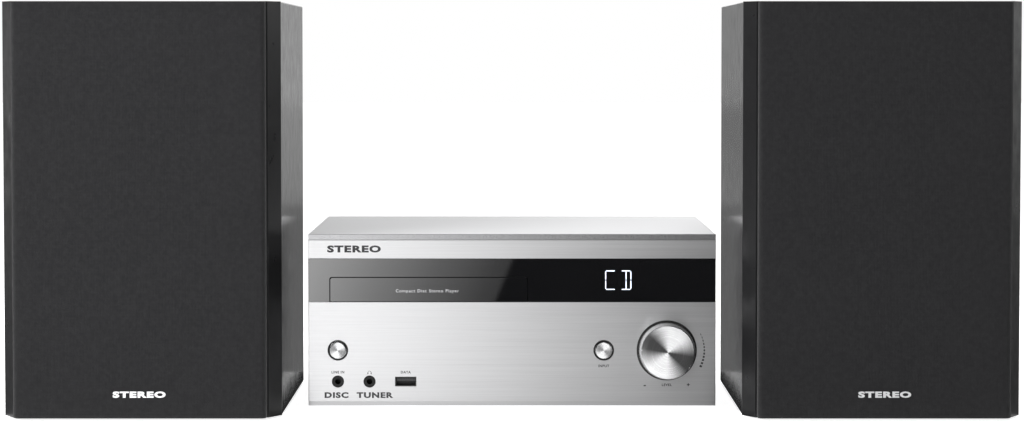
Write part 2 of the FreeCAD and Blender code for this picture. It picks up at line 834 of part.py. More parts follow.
def loader_frame():
    low = loader_floor_z - loader_floor_thickness
    top = low + loader_wall_height
    outer = loader_wall_x + loader_wall
    floor = block(door_x - outer, door_x + outer, loader_front, loader_back, low, loader_floor_z)
    bridge = block(door_x - outer, door_x + outer, disc_centre_depth - 14, disc_centre_depth + 14, top - 2, top)
    parts = [floor, bridge] + loader_side(-1) + loader_side(1)
    parts += [rod_along_z(x, y, loader_post_radius, pan_top, low) for x, y in loader_posts()]
    pin_collar = rod_along_z(gear_x, gear_depth, gear_pin_radius * 2, loader_floor_z, gear_bottom - tray_slide_gap)
    pin = rod_along_z(gear_x, gear_depth, gear_pin_radius, loader_floor_z, gear_top)
    parts += [pin_collar, pin]
    rods, y0, y1 = guide_rods()
    for rod_side in (-1, 1):
        x = door_x + rod_side * rod_half_spacing
        for start in (y0, y1 - rod_radius * 2):
            bracket = block(x - rod_radius * 2, x + rod_radius * 2, start, start + rod_radius * 2,
                            loader_floor_z, rod_z + rod_radius * 1.6)
            parts.append(bracket)
    frame = fuse_all(parts)
    frame = cut_all(frame, rods)
    motor = tube_along_z_blind(door_x, disc_centre_depth, spindle_motor_radius, spindle_radius + running_clearance,
                               loader_floor_z, loader_floor_z + spindle_motor_height)
    return group([frame, motor] + rods)


def tube_along_z_blind(x, y, outer, inner, z0, z1):
    return rod_along_z(x, y, outer, z0, z1).cut(rod_along_z(x, y, inner, z0 + 2, z1 + 1))


def turntable():
    low = turntable_z
    top = low + turntable_thickness
    platter = rod_along_z(door_x, disc_centre_depth, turntable_radius, low, top)
    hub = rod_along_z(door_x, disc_centre_depth, turntable_hub_radius, top, top + turntable_hub_height)
    hub = hub.makeChamfer(1.2, edges_where(hub, lambda c, e: c.z > top + turntable_hub_height - 0.01))
    shaft = rod_along_z(door_x, disc_centre_depth, spindle_radius, loader_floor_z + 3, low)
    return fuse_all([platter, hub, shaft])


def pickup_sled():
    y0 = sled_rest_front
    y1 = y0 + sled_length
    low = rod_z - sled_height / 2
    high = rod_z + sled_height / 2
    body = block(door_x - sled_half_width, door_x + sled_half_width, y0, y1, low, high)
    for side in (-1, 1):
        body = body.cut(rod_along_y(door_x + side * rod_half_spacing, rod_z, rod_radius + running_clearance,
                                    y0 - 1, y1 + 1))
    holder = block(door_x - lens_radius * 2, door_x + lens_radius * 2, y0 + 3, y1 - 3, high, high + 2)
    lens = rod_along_z(door_x, (y0 + y1) / 2, lens_radius, high + 2, high + 3)
    return fuse_all([body, holder, lens])


# ------------------------------------------------------ receiver: the rear
def board_corners():
    """The main board's four standoffs, between the loader's posts."""
    left, right, front, rear = board_span()
    inset = standoff_radius + 1
    for x in (left + inset, right - inset):
        for y in (front + inset, rear - inset):
            yield x, y


def board_span():
    reach = loader_wall_x - loader_post_radius * 2 - 1
    return door_x - reach, door_x + reach, main_board_front, receiver_depth - main_board_rear_inset


def main_board():
    left, right, front, rear = board_span()
    z = pan_top + main_board_height
    top = z + board_thickness
    parts = [block(left, right, front, rear, z, top)]
    sink_x = right - 40
    base = block(sink_x, sink_x + 4, front + 8, front + 8 + heat_sink_length, top, top + 30)
    fins = []
    for index in range(heat_sink_fins):
        y = front + 9 + heat_sink_fin_pitch * 1.5 * index
        fins.append(block(sink_x + 4, sink_x + 4 + heat_sink_fin_height, y, y + heat_sink_fin_thickness,
                          top, top + 28))
    parts.append(fuse_all([base] + fins))
    for index in range(3):
        parts.append(rod_along_z(left + 20 + index * 18, front + 20, capacitor_radius, top, top + capacitor_height))
        parts.append(block(left + 12 + index * 18, left + 22 + index * 18, front + 50, front + 62, top, top + 2))
    return group(parts)


def power_supply():
    x1 = half_width - supply_side_inset
    x0 = x1 - supply_width
    y1 = receiver_depth - supply_side_inset * 2
    y0 = y1 - supply_length
    z = pan_top + main_board_height
    top = z + board_thickness
    board = block(x0, x1, y0, y1, z, top)
    legs = [rod_along_z(x, y, standoff_radius, pan_top, z)
            for x in (x0 + 5, x1 - 5) for y in (y0 + 5, y1 - 5)]
    middle = (x0 + x1) / 2
    half = transformer_size / 2
    core = block(middle - half, middle + half, y1 - transformer_size, y1 - 4, top, top + transformer_height)
    winding = rod_along_y(middle, top + transformer_height / 2, half * 0.75, y1 - transformer_size - 5,
                          y1 - transformer_size)
    smoothing = [rod_along_z(x0 + 12 + index * 20, y0 + 14, capacitor_radius, top, top + capacitor_height)
                 for index in range(2)]
    return group([board, core, winding] + legs + smoothing)


def rear_socket_places():
    yield sockets_x - phono_pitch, phono_radius
    yield sockets_x, phono_radius
    yield sockets_x + phono_pitch * 1.8, aerial_radius


def rear_sockets():
    z = base_z + sockets_height
    inside = back_front - 12
    parts = []
    for index, (x, radius) in enumerate(rear_socket_places()):
        bore = phono_bore_radius if index < 2 else aerial_bore_radius
        barrel = rod_along_y(x, z, radius, back_front, receiver_depth + phono_length)
        body = block(x - radius - 1, x + radius + 1, inside, back_front, z - radius - 2, z + radius + 2)
        rim = edges_where(barrel, lambda c, e: abs(c.y - receiver_depth - phono_length) < 0.01)
        barrel = barrel.makeChamfer(0.4, rim)
        parts.append(body.fuse(barrel).cut(rod_along_y(x, z, bore, receiver_depth, receiver_depth + 20)))
    return group(parts)


def mains_inlet():
    z = base_z + sockets_height
    half_x = inlet_width / 2
    half_z = inlet_height / 2
    body = block(inlet_x - half_x, inlet_x + half_x, back_front - 12, receiver_depth + 1, z - half_z, z + half_z)
    rims = edges_where(body, lambda c, e: abs(c.y - receiver_depth - 1) < 0.01)
    body = body.makeChamfer(0.6, rims)
    mouth = receiver_depth + 2
    floor = receiver_depth + 1 - inlet_slot_depth
    end = inlet_slot_height / 2
    straight = inlet_slot_width / 2 - end
    body = body.cut(block(inlet_x - straight, inlet_x + straight, floor, mouth, z - end, z + end))
    for side in (-1, 1):
        body = body.cut(rod_along_y(inlet_x + side * straight, z, end, floor, mouth))
    pins = [rod_along_y(inlet_x + side * inlet_pin_pitch / 2, z, inlet_pin_radius, floor,
                        receiver_depth + 1 - 2.5) for side in (-1, 1)]
    return group([body] + pins)


def post_places():
    for z in (-post_pitch_z / 2, post_pitch_z / 2):
        for x in (-post_pitch_x / 2, post_pitch_x / 2):
            yield terminals_x + x, base_z + terminals_height + z


def binding_post(x, z, y0, y_wall):
    post = rod_along_y(x, z, post_radius, y0, y_wall + post_length)
    return post.cut(rod_along_y(x, z, banana_radius, y_wall + post_length - banana_depth, y_wall + post_length + 1))


def speaker_terminals():
    z = base_z + terminals_height
    half_x = post_pitch_x / 2 + post_plate_margin
    half_z = post_pitch_z / 2 + post_plate_margin
    plate = block(terminals_x - half_x, terminals_x + half_x, receiver_depth, receiver_depth + post_plate_thickness,
                  z - half_z, z + half_z)
    plate = plate.makeChamfer(0.5, edges_where(plate, lambda c, e: abs(c.y - receiver_depth - 2) < 0.01))
    inner_x = post_pitch_x / 2 + post_radius + 1
    inner_z = post_pitch_z / 2 + post_radius + 1
    body = block(terminals_x - inner_x, terminals_x + inner_x, back_front - 8, receiver_depth,
                 z - inner_z, z + inner_z)
    holes = [rod_along_y(px, pz, post_radius, back_front - 9, receiver_depth + 3) for px, pz in post_places()]
    block_solid = cut_all(plate.fuse(body), holes)
    posts = [binding_post(px, pz, back_front - 8, receiver_depth) for px, pz in post_places()]
    return group([block_solid] + posts)


def terminal_cap(x, z, wall_y):
    """A ribbed collar that turns on its post."""
    y0 = wall_y + post_plate_thickness + cap_gap
    y1 = y0 + cap_length
    collar = rod_along_y(x, z, cap_radius, y0, y1)
    collar = collar.makeChamfer(0.6, edges_where(collar, lambda c, e: abs(c.y - y1) < 0.01))
    grooves = [rod_along_y(x + gx, z + gz, 0.7, y0 - 1, y1 + 1) for gx, gz in ring_points(16, cap_radius + 0.2)]
    bore = rod_along_y(x, z, post_radius + running_clearance, y0 - 1, y1 + 1)
    return cut_all(collar, grooves).cut(bore)


# --------------------------------------------------------------- the speaker
def speaker_cabinet():
    half = speaker_half
    top = speaker_height
    low = cabinet_bottom
    parts = []
    for side in (-1, 1):
        x0, x1 = sorted((side * half, side * inner_half))
        panel = block(x0, x1, baffle_back, speaker_depth, low, top)
        rims = edges_where(panel, lambda c, e: abs(abs(c.x) - half) < 0.01 and not upright_front(c))
        parts.append(panel.makeFillet(cabinet_edge, rims))
    parts.append(block(-inner_half, inner_half, baffle_back, speaker_depth, top - panel_thickness, top))
    parts.append(block(-inner_half, inner_half, baffle_back, speaker_depth, low, low + panel_thickness))
    back = block(-inner_half, inner_half, speaker_depth - panel_thickness, speaker_depth,
                 low + panel_thickness, top - panel_thickness)
    back = back.cut(rod_along_y(0, port_z, port_radius, speaker_depth - 20, speaker_depth + 1))
    for side in (-1, 1):
        back = back.cut(rod_along_y(side * terminal_pitch / 2, terminal_height, post_radius + 1,
                                    speaker_depth - 20, speaker_depth + 1))
    back = cut_all(back, [rod_along_y(x, z, screw_hole_radius, speaker_depth - 8, speaker_depth + 1)
                          for x, z in plate_screw_places()])
    return group(parts + [back])


def upright_front(centre):
    return abs(centre.y - baffle_back) < 0.01


def woofer_screw_places():
    radius = (woofer_flange_radius + woofer_hole_radius) / 2
    for x, z in ring_points(driver_screws_woofer, radius, math.pi / 6):
        yield x, woofer_z + z


def tweeter_screw_places():
    for x, z in ring_points(driver_screws_tweeter, tweeter_plate_radius - 5, math.pi / 4):
        yield x, tweeter_z + z


def plate_screw_places():
    for x in (-1, 1):
        for z in (-1, 1):
            yield x * (terminal_pitch / 2 + post_plate_margin), terminal_height + z * 12


def peg_places():
    for x in (-1, 1):
        yield x * (grille_width / 2 - peg_inset_x), cabinet_bottom + peg_inset_z
        yield x * (grille_width / 2 - peg_inset_x), speaker_height - peg_inset_z


def baffle():
    front_half = speaker_half - baffle_chamfer_width
    outline = [(-front_half, baffle_front), (front_half, baffle_front),
               (speaker_half, baffle_front + baffle_chamfer_depth), (speaker_half, baffle_back),
               (-speaker_half, baffle_back), (-speaker_half, baffle_front + baffle_chamfer_depth)]
    board = slab_along_z(outline, cabinet_bottom, speaker_height)
    y0 = baffle_front - 1
    y1 = baffle_back + 1
    rebate = flange_back
    tools = [rod_along_y(0, woofer_z, woofer_flange_radius + driver_clearance, y0, rebate),
             rod_along_y(0, woofer_z, woofer_hole_radius, y0, y1),
             rod_along_y(0, tweeter_z, tweeter_plate_radius + driver_clearance, y0, rebate),
             rod_along_y(0, tweeter_z, tweeter_hole_radius, y0, y1)]
    tools += [rod_along_y(x, z, peg_radius + peg_clearance, y0, baffle_front + peg_length) for x, z in peg_places()]
    for places in (woofer_screw_places(), tweeter_screw_places()):
        tools += [rod_along_y(x, z, screw_hole_radius, y0, baffle_front + screw_length + 2) for x, z in places]
    return cut_all(board, tools)


def grille_frame():
    half_x = grille_width / 2 - cloth_side
    low = cabinet_bottom + grille_margin
    high = speaker_height - grille_margin
    outer = block(-half_x, half_x, cloth_thickness, grille_depth, low, high)
    corners = edges_where(outer, lambda c, e: upright(e) and c.y < cloth_thickness + 0.01)
    outer = outer.makeFillet(grille_corner - cloth_thickness, corners)
    opening = block(-half_x + grille_bar, half_x - grille_bar, 0, grille_depth + 1, low + grille_bar,
                    high - grille_bar)
    pegs = [rod_along_y(x, z, peg_radius, grille_depth, baffle_front + peg_length - 0.5) for x, z in peg_places()]
    return fuse_all([outer.cut(opening)] + pegs)


def grille_cloth():
    half_x = grille_width / 2 - grille_corner
    low = cabinet_bottom + grille_margin
    high = speaker_height - grille_margin
    return block(-half_x, half_x, 0, cloth_thickness, low, high)


def woofer_frame():
    land_y = flange_back - 0.5
    rear = flange_back + basket_depth
    lip = surround_outer_radius - 0.4
    outline = [(woofer_flange_radius, baffle_front), (woofer_flange_radius, flange_back),
               (woofer_hole_radius - driver_clearance, flange_back),
               (basket_rear_radius, rear - basket_wall), (basket_rear_radius, rear),
               (pole_radius + former_clearance(), rear), (pole_radius + former_clearance(), rear - basket_wall),
               (basket_rear_radius - basket_wall, rear - basket_wall), (lip, flange_back + 2), (lip, land_y),
               (surround_outer_radius + surround_land + 0.3, land_y),
               (surround_outer_radius + surround_land + 0.3, baffle_front)]
    basket = turned_outline(outline, 0, woofer_z)
    windows = []
    for index in range(basket_windows):
        window = block(basket_rear_radius * 0.75, woofer_flange_radius, flange_back + 6, rear - 6,
                       -basket_window_width / 2, basket_window_width / 2)
        window.rotate(vec(0, 0, 0), vec(0, 1, 0), 360 * index / basket_windows)
        window.translate(vec(0, 0, woofer_z))
        windows.append(window)
    holes = [rod_along_y(x, z, screw_hole_radius, baffle_front - 1, flange_back + 1)
             for x, z in woofer_screw_places()]
    basket = cut_all(basket, windows + holes)
    magnet_front = rear + top_plate_thickness
    magnet_back = magnet_front + magnet_length
    top_plate = tube_along_y(0, woofer_z, magnet_radius, pole_radius + former_clearance(), rear, magnet_front)
    magnet = tube_along_y(0, woofer_z, magnet_radius + 2, magnet_radius / 2, magnet_front, magnet_back)
    back_plate = rod_along_y(0, woofer_z, magnet_radius, magnet_back, magnet_back + top_plate_thickness)
    pole = rod_along_y(0, woofer_z, pole_radius, rear, magnet_back)
    return group([basket, top_plate, magnet, back_plate.fuse(pole)])


def former_clearance():
    return 2 * (cone_throat_radius - pole_radius) + former_thickness


def woofer_cone():
    """The cone with its voice-coil former, closed in front by the dust cap."""
    throat_y = rim_y + cone_depth
    former_end = throat_y + former_length
    former_outer = cone_throat_radius + former_thickness
    edge_radius = surround_inner_radius - surround_land
    rise = cone_depth / (edge_radius - cone_throat_radius)
    cap_y = rim_y + rise * (edge_radius - dust_cap_radius)
    seat_radius = dust_cap_radius - dust_cap_wall
    seat_y = rim_y + rise * (edge_radius - seat_radius)
    apex = cap_y - dust_cap_rise
    edges = [dome_arc(apex, dust_cap_radius, cap_y),
             line((dust_cap_radius, cap_y), (edge_radius, rim_y)),
             line((edge_radius, rim_y), (surround_inner_radius, rim_y)),
             line((surround_inner_radius, rim_y), (surround_inner_radius, rim_y + cone_thickness)),
             line((surround_inner_radius, rim_y + cone_thickness), (edge_radius, rim_y + cone_thickness)),
             line((edge_radius, rim_y + cone_thickness), (former_outer, throat_y + cone_thickness)),
             line((former_outer, throat_y + cone_thickness), (former_outer, former_end)),
             line((former_outer, former_end), (cone_throat_radius, former_end)),
             line((cone_throat_radius, former_end), (cone_throat_radius, throat_y)),
             line((cone_throat_radius, throat_y), (seat_radius, seat_y)),
             dome_arc(apex + dust_cap_wall, seat_radius, seat_y),
             line((0, apex + dust_cap_wall), (0, apex))]
    return turned(edges, 0, woofer_z)


def woofer_surround():
    """A half-roll with a flat land each side, on the basket and on the cone's rim."""
    front = rim_y - surround_thickness
    middle = (surround_outer_radius + surround_inner_radius) / 2
    outer = (surround_outer_radius - surround_inner_radius) / 2
    inner = outer - surround_thickness
    land_out = surround_outer_radius + surround_land
    land_in = surround_inner_radius - surround_land
    edges = [line((land_out, rim_y), (land_out, front)), line((land_out, front), (middle + outer, front)),
             arc((middle + outer, front), (middle, front - outer), (middle - outer, front)),
             line((middle - outer, front), (land_in, front)), line((land_in, front), (land_in, rim_y)),
             line((land_in, rim_y), (middle - inner, rim_y)),
             arc((middle - inner, rim_y), (middle, rim_y - inner), (middle + inner, rim_y)),
             line((middle + inner, rim_y), (land_out, rim_y))]
    return turned(edges, 0, woofer_z)


def tweeter():
    mouth = tweeter_dome_radius * 1.9
    throat = tweeter_dome_radius + 1
    outline = [(throat, flange_back), (throat, flange_back - 0.6), (mouth, baffle_front + 0.4),
               (mouth + 1, baffle_front), (tweeter_plate_radius, baffle_front),
               (tweeter_plate_radius, flange_back)]
    plate = turned_outline(outline, 0, tweeter_z)
    plate = cut_all(plate, [rod_along_y(x, z, screw_hole_radius, baffle_front - 1, flange_back + 1)
                            for x, z in tweeter_screw_places()])
    magnet = rod_along_y(0, tweeter_z, tweeter_magnet_radius, flange_back, flange_back + tweeter_magnet_length)
    apex = flange_back - tweeter_dome_rise
    edges = [dome_arc(apex, tweeter_dome_radius, flange_back),
             line((tweeter_dome_radius, flange_back), (0, flange_back)), line((0, flange_back), (0, apex))]
    return group([plate, magnet, turned(edges, 0, tweeter_z)])


def port_tube():
    back = speaker_depth
    bore = port_radius - port_wall
    front = back - port_length
    wide = bore + port_flange
    bend = (wide - port_flange * math.sqrt(0.5), back + port_flange_height - port_flange * (1 - math.sqrt(0.5)))
    edges = [line((port_radius - 0.2, front), (port_radius - 0.2, back)),
             line((port_radius - 0.2, back), (wide + port_wall, back)),
             line((wide + port_wall, back), (wide, back + port_flange_height)),
             arc((wide, back + port_flange_height), bend,
                 (bore, back + port_flange_height - port_flange)),
             line((bore, back + port_flange_height - port_flange), (bore, front)),
             line((bore, front), (port_radius - 0.2, front))]
    return turned(edges, 0, port_z)


def speaker_terminal_plate():
    half_x = terminal_pitch / 2 + post_plate_margin + screw_head_radius + 2
    half_z = 12 + screw_head_radius + 2
    y0 = speaker_depth
    plate = block(-half_x, half_x, y0, y0 + post_plate_thickness, terminal_height - half_z,
                  terminal_height + half_z)
    plate = plate.makeChamfer(0.5, edges_where(plate, lambda c, e: abs(c.y - y0 - post_plate_thickness) < 0.01))
    holes = [rod_along_y(x, z, screw_hole_radius, y0 - 1, y0 + 3) for x, z in plate_screw_places()]
    places = [(side * terminal_pitch / 2, terminal_height) for side in (-1, 1)]
    holes += [rod_along_y(x, z, post_radius, y0 - 1, y0 + 3) for x, z in places]
    posts = [binding_post(x, z, y0 - 10, y0) for x, z in places]
    return group([cut_all(plate, holes)] + posts)


def speaker_screws():
    screws = [screw_y(x, baffle_front, z, -1) for x, z in woofer_screw_places()]
    screws += [screw_y(x, baffle_front, z, -1) for x, z in tweeter_screw_places()]
    screws += [screw_y(x, speaker_depth + post_plate_thickness, z, 1) for x, z in plate_screw_places()]
    return group(screws)


def speaker_pads():
    pads = []
    for x in (-1, 1):
        for y in (baffle_front + pad_inset, speaker_depth - pad_inset):
            pads.append(rod_along_z(x * (speaker_half - pad_inset), y, pad_radius, 0, pad_height))
    return group(pads)


def speaker_parts():
    return {
        "speaker_cabinet": speaker_cabinet(),
        "baffle": baffle(),
        "grille_frame": grille_frame(),
        "grille_cloth": grille_cloth(),
        "woofer_frame": woofer_frame(),
        "woofer_cone": woofer_cone(),
        "woofer_surround": woofer_surround(),
        "tweeter": tweeter(),
        "port_tube": port_tube(),
        "terminal_plate": speaker_terminal_plate(),
        "terminal_cap_red": terminal_cap(-terminal_pitch / 2, terminal_height, speaker_depth),
        "terminal_cap_black": terminal_cap(terminal_pitch / 2, terminal_height, speaker_depth),
        "speaker_feet": speaker_pads(),
        "speaker_screws": speaker_screws(),
    }


def receiver_parts():
    parts = {
        "chassis_pan": chassis_pan(),
        "top_cover": top_cover(),
        "back_panel": back_panel(),
        "fascia_panel": fascia_panel(),
        "fascia_header": fascia_header(),
        "display_window": display_window(),
        "fascia_carrier": fascia_carrier(),
        "tray_door": tray_door(),
        "disc_tray": disc_tray(),
        "loader_frame": loader_frame(),
        "loading_gear": loading_gear(),
        "turntable": turntable(),
        "pickup_sled": pickup_sled(),
        "volume_knob": volume_knob(),
        "knob_ring": knob_ring(),
        "power_button": push_button(power_x),
        "source_button": push_button(source_x),
        "front_board": front_board(),
        "front_sockets": front_sockets(),
        "usb_socket": usb_socket(),
        "display_module": display_module(),
        "main_board": main_board(),
        "power_supply": power_supply(),
        "receiver_feet": receiver_feet(),
        "rear_sockets": rear_sockets(),
        "mains_inlet": mains_inlet(),
        "speaker_terminals": speaker_terminals(),
        "case_screws": case_screws(),
    }
    names = ("right_black", "right_red", "left_black", "left_red")
    for name, (x, z) in zip(names, post_places()):
        parts["receiver_cap_" + name] = terminal_cap(x, z, receiver_depth)
    return parts


def write(name, shape, x, y):
    placed = shape.copy()
    placed.translate(vec(x, y, 0))
    placed.exportStep("parts/" + name + ".step")


def main():
    os.makedirs("parts", exist_ok=True)
    for name, shape in receiver_parts().items():
        write(name, shape, 0, frame_shift)
    for name, shape in speaker_parts().items():
        write("left_" + name, shape, -speaker_x, frame_shift - speaker_lead)
        write("right_" + name, shape, speaker_x, frame_shift - speaker_lead)


main()
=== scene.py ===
"""The looks of a mini hifi system: a brushed disc receiver between two gloss black speakers."""

import logging
import math
from dataclasses import dataclass
from enum import Enum
from typing import Iterable, Sequence

import bmesh
import bpy
from mathutils import Matrix, Vector


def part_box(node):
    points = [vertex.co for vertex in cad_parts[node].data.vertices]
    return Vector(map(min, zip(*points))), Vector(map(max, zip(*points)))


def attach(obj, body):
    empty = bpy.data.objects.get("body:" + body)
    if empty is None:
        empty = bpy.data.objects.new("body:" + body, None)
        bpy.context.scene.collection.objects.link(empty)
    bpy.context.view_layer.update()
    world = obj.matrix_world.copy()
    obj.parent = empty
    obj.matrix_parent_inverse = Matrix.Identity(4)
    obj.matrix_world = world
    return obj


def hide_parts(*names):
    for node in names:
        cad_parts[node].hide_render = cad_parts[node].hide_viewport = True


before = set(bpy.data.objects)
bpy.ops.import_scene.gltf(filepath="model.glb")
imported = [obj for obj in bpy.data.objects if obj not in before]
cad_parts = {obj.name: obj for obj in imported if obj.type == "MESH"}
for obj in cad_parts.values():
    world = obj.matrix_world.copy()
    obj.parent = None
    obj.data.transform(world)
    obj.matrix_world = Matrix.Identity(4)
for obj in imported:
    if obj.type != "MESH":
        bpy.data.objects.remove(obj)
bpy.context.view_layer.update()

LOG = logging.getLogger("hifi")
MM = 0.001
CAPITAL_SHARE = 0.73  # a capital's height as a share of the font's size
Colour = tuple[float, float, float]
Point = tuple[float, float, float]
Stops = Sequence[tuple[float, float]]
SIDES = ("left", "right")


class Axis(Enum):
    """The axis that a metal's tangents run round."""

    Y = "Y"
    Z = "Z"


class Relief(Enum):
    """The surface texture of a moulded or painted part."""

    FINE = 2600.0
    MEDIUM = 1500.0
    COARSE = 700.0


# ------------------------------------------------------------------ shaders
class Tree:
    """A node tree under construction."""

    def __init__(self, tree: bpy.types.NodeTree) -> None:
        """Take up a tree.

        Args:
            tree: the tree that nodes are added to.
        """
        self.tree = tree

    def feed(self, target: bpy.types.NodeSocket, value: object) -> None:
        """Link a socket to an input, or set a plain value on it.

        Args:
            target: the input.
            value: a socket, a number, a vector or a colour.
        """
        if isinstance(value, bpy.types.NodeSocket):
            self.tree.links.new(value, target)
        else:
            target.default_value = value

    def node(self, kind: str, inputs: dict[str, object] | None = None, **settings: object) -> bpy.types.Node:
        """Add a node, and set or link its inputs.

        Args:
            kind: the node's full type.
            inputs: plain values or sockets by input name.
            **settings: attributes to set on it.

        Returns:
            The new node.
        """
        made = self.tree.nodes.new(kind)
        for key, value in settings.items():
            setattr(made, key, value)
        for key, value in (inputs or {}).items():
            self.feed(made.inputs[key], value)
        return made

    def math(self, operation: str, *values: object) -> bpy.types.NodeSocket:
        """One sum on values or sockets.

        Args:
            operation: the Math node's operation.
            *values: numbers or sockets, as many as the operation takes.

        Returns:
            The result.
        """
        made = self.node("ShaderNodeMath", operation=operation)
        for target, value in zip(made.inputs, values):
            self.feed(target, value)
        return made.outputs["Value"]

    def span(self, value: bpy.types.NodeSocket, low: float, high: float, start: float = 0.3,
             end: float = 0.7) -> bpy.types.NodeSocket:
        """Stretch a value from start..end to low..high.

        Args:
            value: what is stretched.
            low: the result at start.
            high: the result at end.
            start: the value's lower end.
            end: the value's upper end.

        Returns:
            The stretched value.
        """
        made = self.node("ShaderNodeMapRange", {"Value": value, "From Min": start, "From Max": end,
                                                "To Min": low, "To Max": high}, clamp=True)
        return made.outputs["Result"]

    def parts(self, vector: bpy.types.NodeSocket) -> dict[str, bpy.types.NodeSocket]:
        """A vector's X, Y and Z."""
        return self.node("ShaderNodeSeparateXYZ", {"Vector": vector}).outputs


class Shader(Tree):
    """A material under construction, with its principled shader at hand."""

    def __init__(self, name: str) -> None:
        """Start a material.

        Args:
            name: what the finish is called.
        """
        self.material = bpy.data.materials.new(name)
        self.material.use_nodes = True
        super().__init__(self.material.node_tree)
        self.bsdf = self.tree.nodes["Principled BSDF"]

    def set(self, **values: object) -> None:
        """Feed the principled shader's own sockets.

        Args:
            **values: socket names with underscores for spaces, and their values or sockets.
        """
        for key, value in values.items():
            tone = isinstance(value, tuple)
            self.feed(self.bsdf.inputs[key.replace("_", " ")], (*value, 1.0) if tone else value)

    def place(self, centre: Point = (0.0, 0.0, 0.0), scale: Point = (1.0, 1.0, 1.0)) -> bpy.types.NodeSocket:
        """Object coordinates, moved so that centre is their origin and then scaled.

        Args:
            centre: the pattern's own origin.
            scale: how much the coordinates grow along each axis.

        Returns:
            The vector socket.
        """
        where = self.node("ShaderNodeTexCoord").outputs["Object"]
        moved = tuple(-c * s for c, s in zip(centre, scale))
        made = self.node("ShaderNodeMapping", {"Vector": where, "Scale": scale, "Location": moved})
        return made.outputs["Vector"]

    def noise(self, vector: bpy.types.NodeSocket, scale: float, detail: float = 2.0) -> bpy.types.NodeSocket:
        """A noise pattern.

        Args:
            vector: where it is read.
            scale: cells for each unit of the vector.
            detail: how many finer octaves it has.

        Returns:
            The pattern's value, about 0 to 1.
        """
        made = self.node("ShaderNodeTexNoise", {"Vector": vector, "Scale": scale, "Detail": detail})
        return made.outputs["Fac"]

    def blend(self, share: bpy.types.NodeSocket, low: Colour, high: Colour) -> None:
        """Colour the surface between two tones.

        Args:
            share: 0 for the low colour, 1 for the high one.
            low: the first colour.
            high: the second colour.
        """
        mix = self.node("ShaderNodeMix", data_type="RGBA")
        first, second = (socket for socket in mix.inputs if socket.type == "RGBA")
        self.feed(mix.inputs[0], share)
        self.feed(first, (*low, 1.0))
        self.feed(second, (*high, 1.0))
        self.set(Base_Color=next(socket for socket in mix.outputs if socket.type == "RGBA"))

    def relief(self, height: bpy.types.NodeSocket, depth: float, strength: float = 1.0) -> None:
        """Give the surface a bump.

        Args:
            height: the pattern, 0 to 1.
            depth: the pattern's full height in metres.
            strength: how much of it shows.
        """
        bump = self.node("ShaderNodeBump", {"Height": height, "Strength": strength, "Distance": depth})
        self.set(Normal=bump.outputs["Normal"])

    def turned(self, axis: Axis, metallic: float, anisotropy: float) -> None:
        """Make the surface metal whose highlights stretch towards an axis.

        Args:
            axis: what the tangents run round.
            metallic: less than 1 for a lacquered face.
            anisotropy: how far highlights stretch.
        """
        tangent = self.node("ShaderNodeTangent", direction_type="RADIAL", axis=axis.value)
        self.set(Metallic=metallic, Anisotropic=anisotropy, Anisotropic_Rotation=0.25,
                 Tangent=tangent.outputs["Tangent"])


@dataclass(frozen=True)
class BrushedMetal:
    """Metal with straight brushing along X.

    Attributes:
        name: the finish's name.
        tone: the metal's colour.
        roughness: the average roughness.
        anisotropy: how far highlights stretch across the brushing.
        line: the width of one brushed line in metres.
        metallic: less than 1 for a lacquered face.
    """

    name: str
    tone: Colour
    roughness: float = 0.34
    anisotropy: float = 0.75
    line: float = 0.00022
    metallic: float = 1.0

    def make(self) -> bpy.types.Material:
        """Build the material."""
        s = Shader(self.name)
        lines = s.noise(s.place(scale=(22.0, 22.0, 1.0 / self.line)), 1.0, 3.0)
        streaks = s.noise(s.place(scale=(6.0, 6.0, 420.0)), 1.0, 3.0)
        both = s.math("ADD", s.math("MULTIPLY", lines, 0.6), s.math("MULTIPLY", streaks, 0.4))
        s.blend(s.span(both, 0.0, 1.0), tuple(c * 0.86 for c in self.tone), self.tone)
        s.set(Roughness=s.span(both, self.roughness * 0.86, self.roughness * 1.14))
        s.turned(Axis.Z, self.metallic, self.anisotropy)
        s.relief(lines, 0.000004, 0.5)
        return s.material


@dataclass(frozen=True)
class SpunMetal:
    """Metal turned on a lathe, with rings about an axis along Y, and fans of painted highlight and shade in
    its colour.

    Attributes:
        name: the finish's name.
        tone: the metal's colour.
        centre: a point on the axis.
        roughness: the average roughness.
        anisotropy: how far highlights stretch across the rings.
        painted_fans: how much darker the painted shade fans between the painted highlight fans are, 0 for
            none.
        lean: the painted highlight fans' angle in degrees.
        metallic: less than 1 for a lacquered face.
    """

    name: str
    tone: Colour
    centre: Point
    roughness: float = 0.24
    anisotropy: float = 0.85
    painted_fans: float = 0.0
    lean: float = 64.0
    metallic: float = 1.0

    def make(self) -> bpy.types.Material:
        """Build the material."""
        s = Shader(self.name)
        parts = s.parts(s.place(self.centre))
        flat = s.node("ShaderNodeCombineXYZ", {"X": parts["X"], "Z": parts["Z"]})
        length = s.node("ShaderNodeVectorMath", operation="LENGTH")
        s.feed(length.inputs[0], flat.outputs["Vector"])
        rings = s.node("ShaderNodeTexNoise", noise_dimensions="1D")
        for key, value in (("Scale", 7000.0), ("Detail", 3.0), ("W", length.outputs["Value"])):
            s.feed(rings.inputs[key], value)
        grain = rings.outputs["Fac"]
        # Painted highlight and painted shade: the colour is full at the lean angle and its opposite and darker
        # between, in place of the bright and dark fans that the rings reflect.
        angle = s.math("ARCTAN2", parts["Z"], parts["X"])
        painted_fan_swing = s.math("COSINE", s.math("MULTIPLY", s.math("SUBTRACT", angle, math.radians(self.lean)), 2.0))
        painted_fans = s.span(painted_fan_swing, 1.0 - self.painted_fans, 1.0, -0.85, 0.75)
        s.blend(s.math("MULTIPLY", s.span(grain, 0.88, 1.0), painted_fans), (0.0, 0.0, 0.0), self.tone)
        s.set(Roughness=s.span(grain, self.roughness * 0.85, self.roughness * 1.15))
        s.turned(Axis.Y, self.metallic, self.anisotropy)
        s.relief(grain, 0.000004, 0.4)
        return s.material


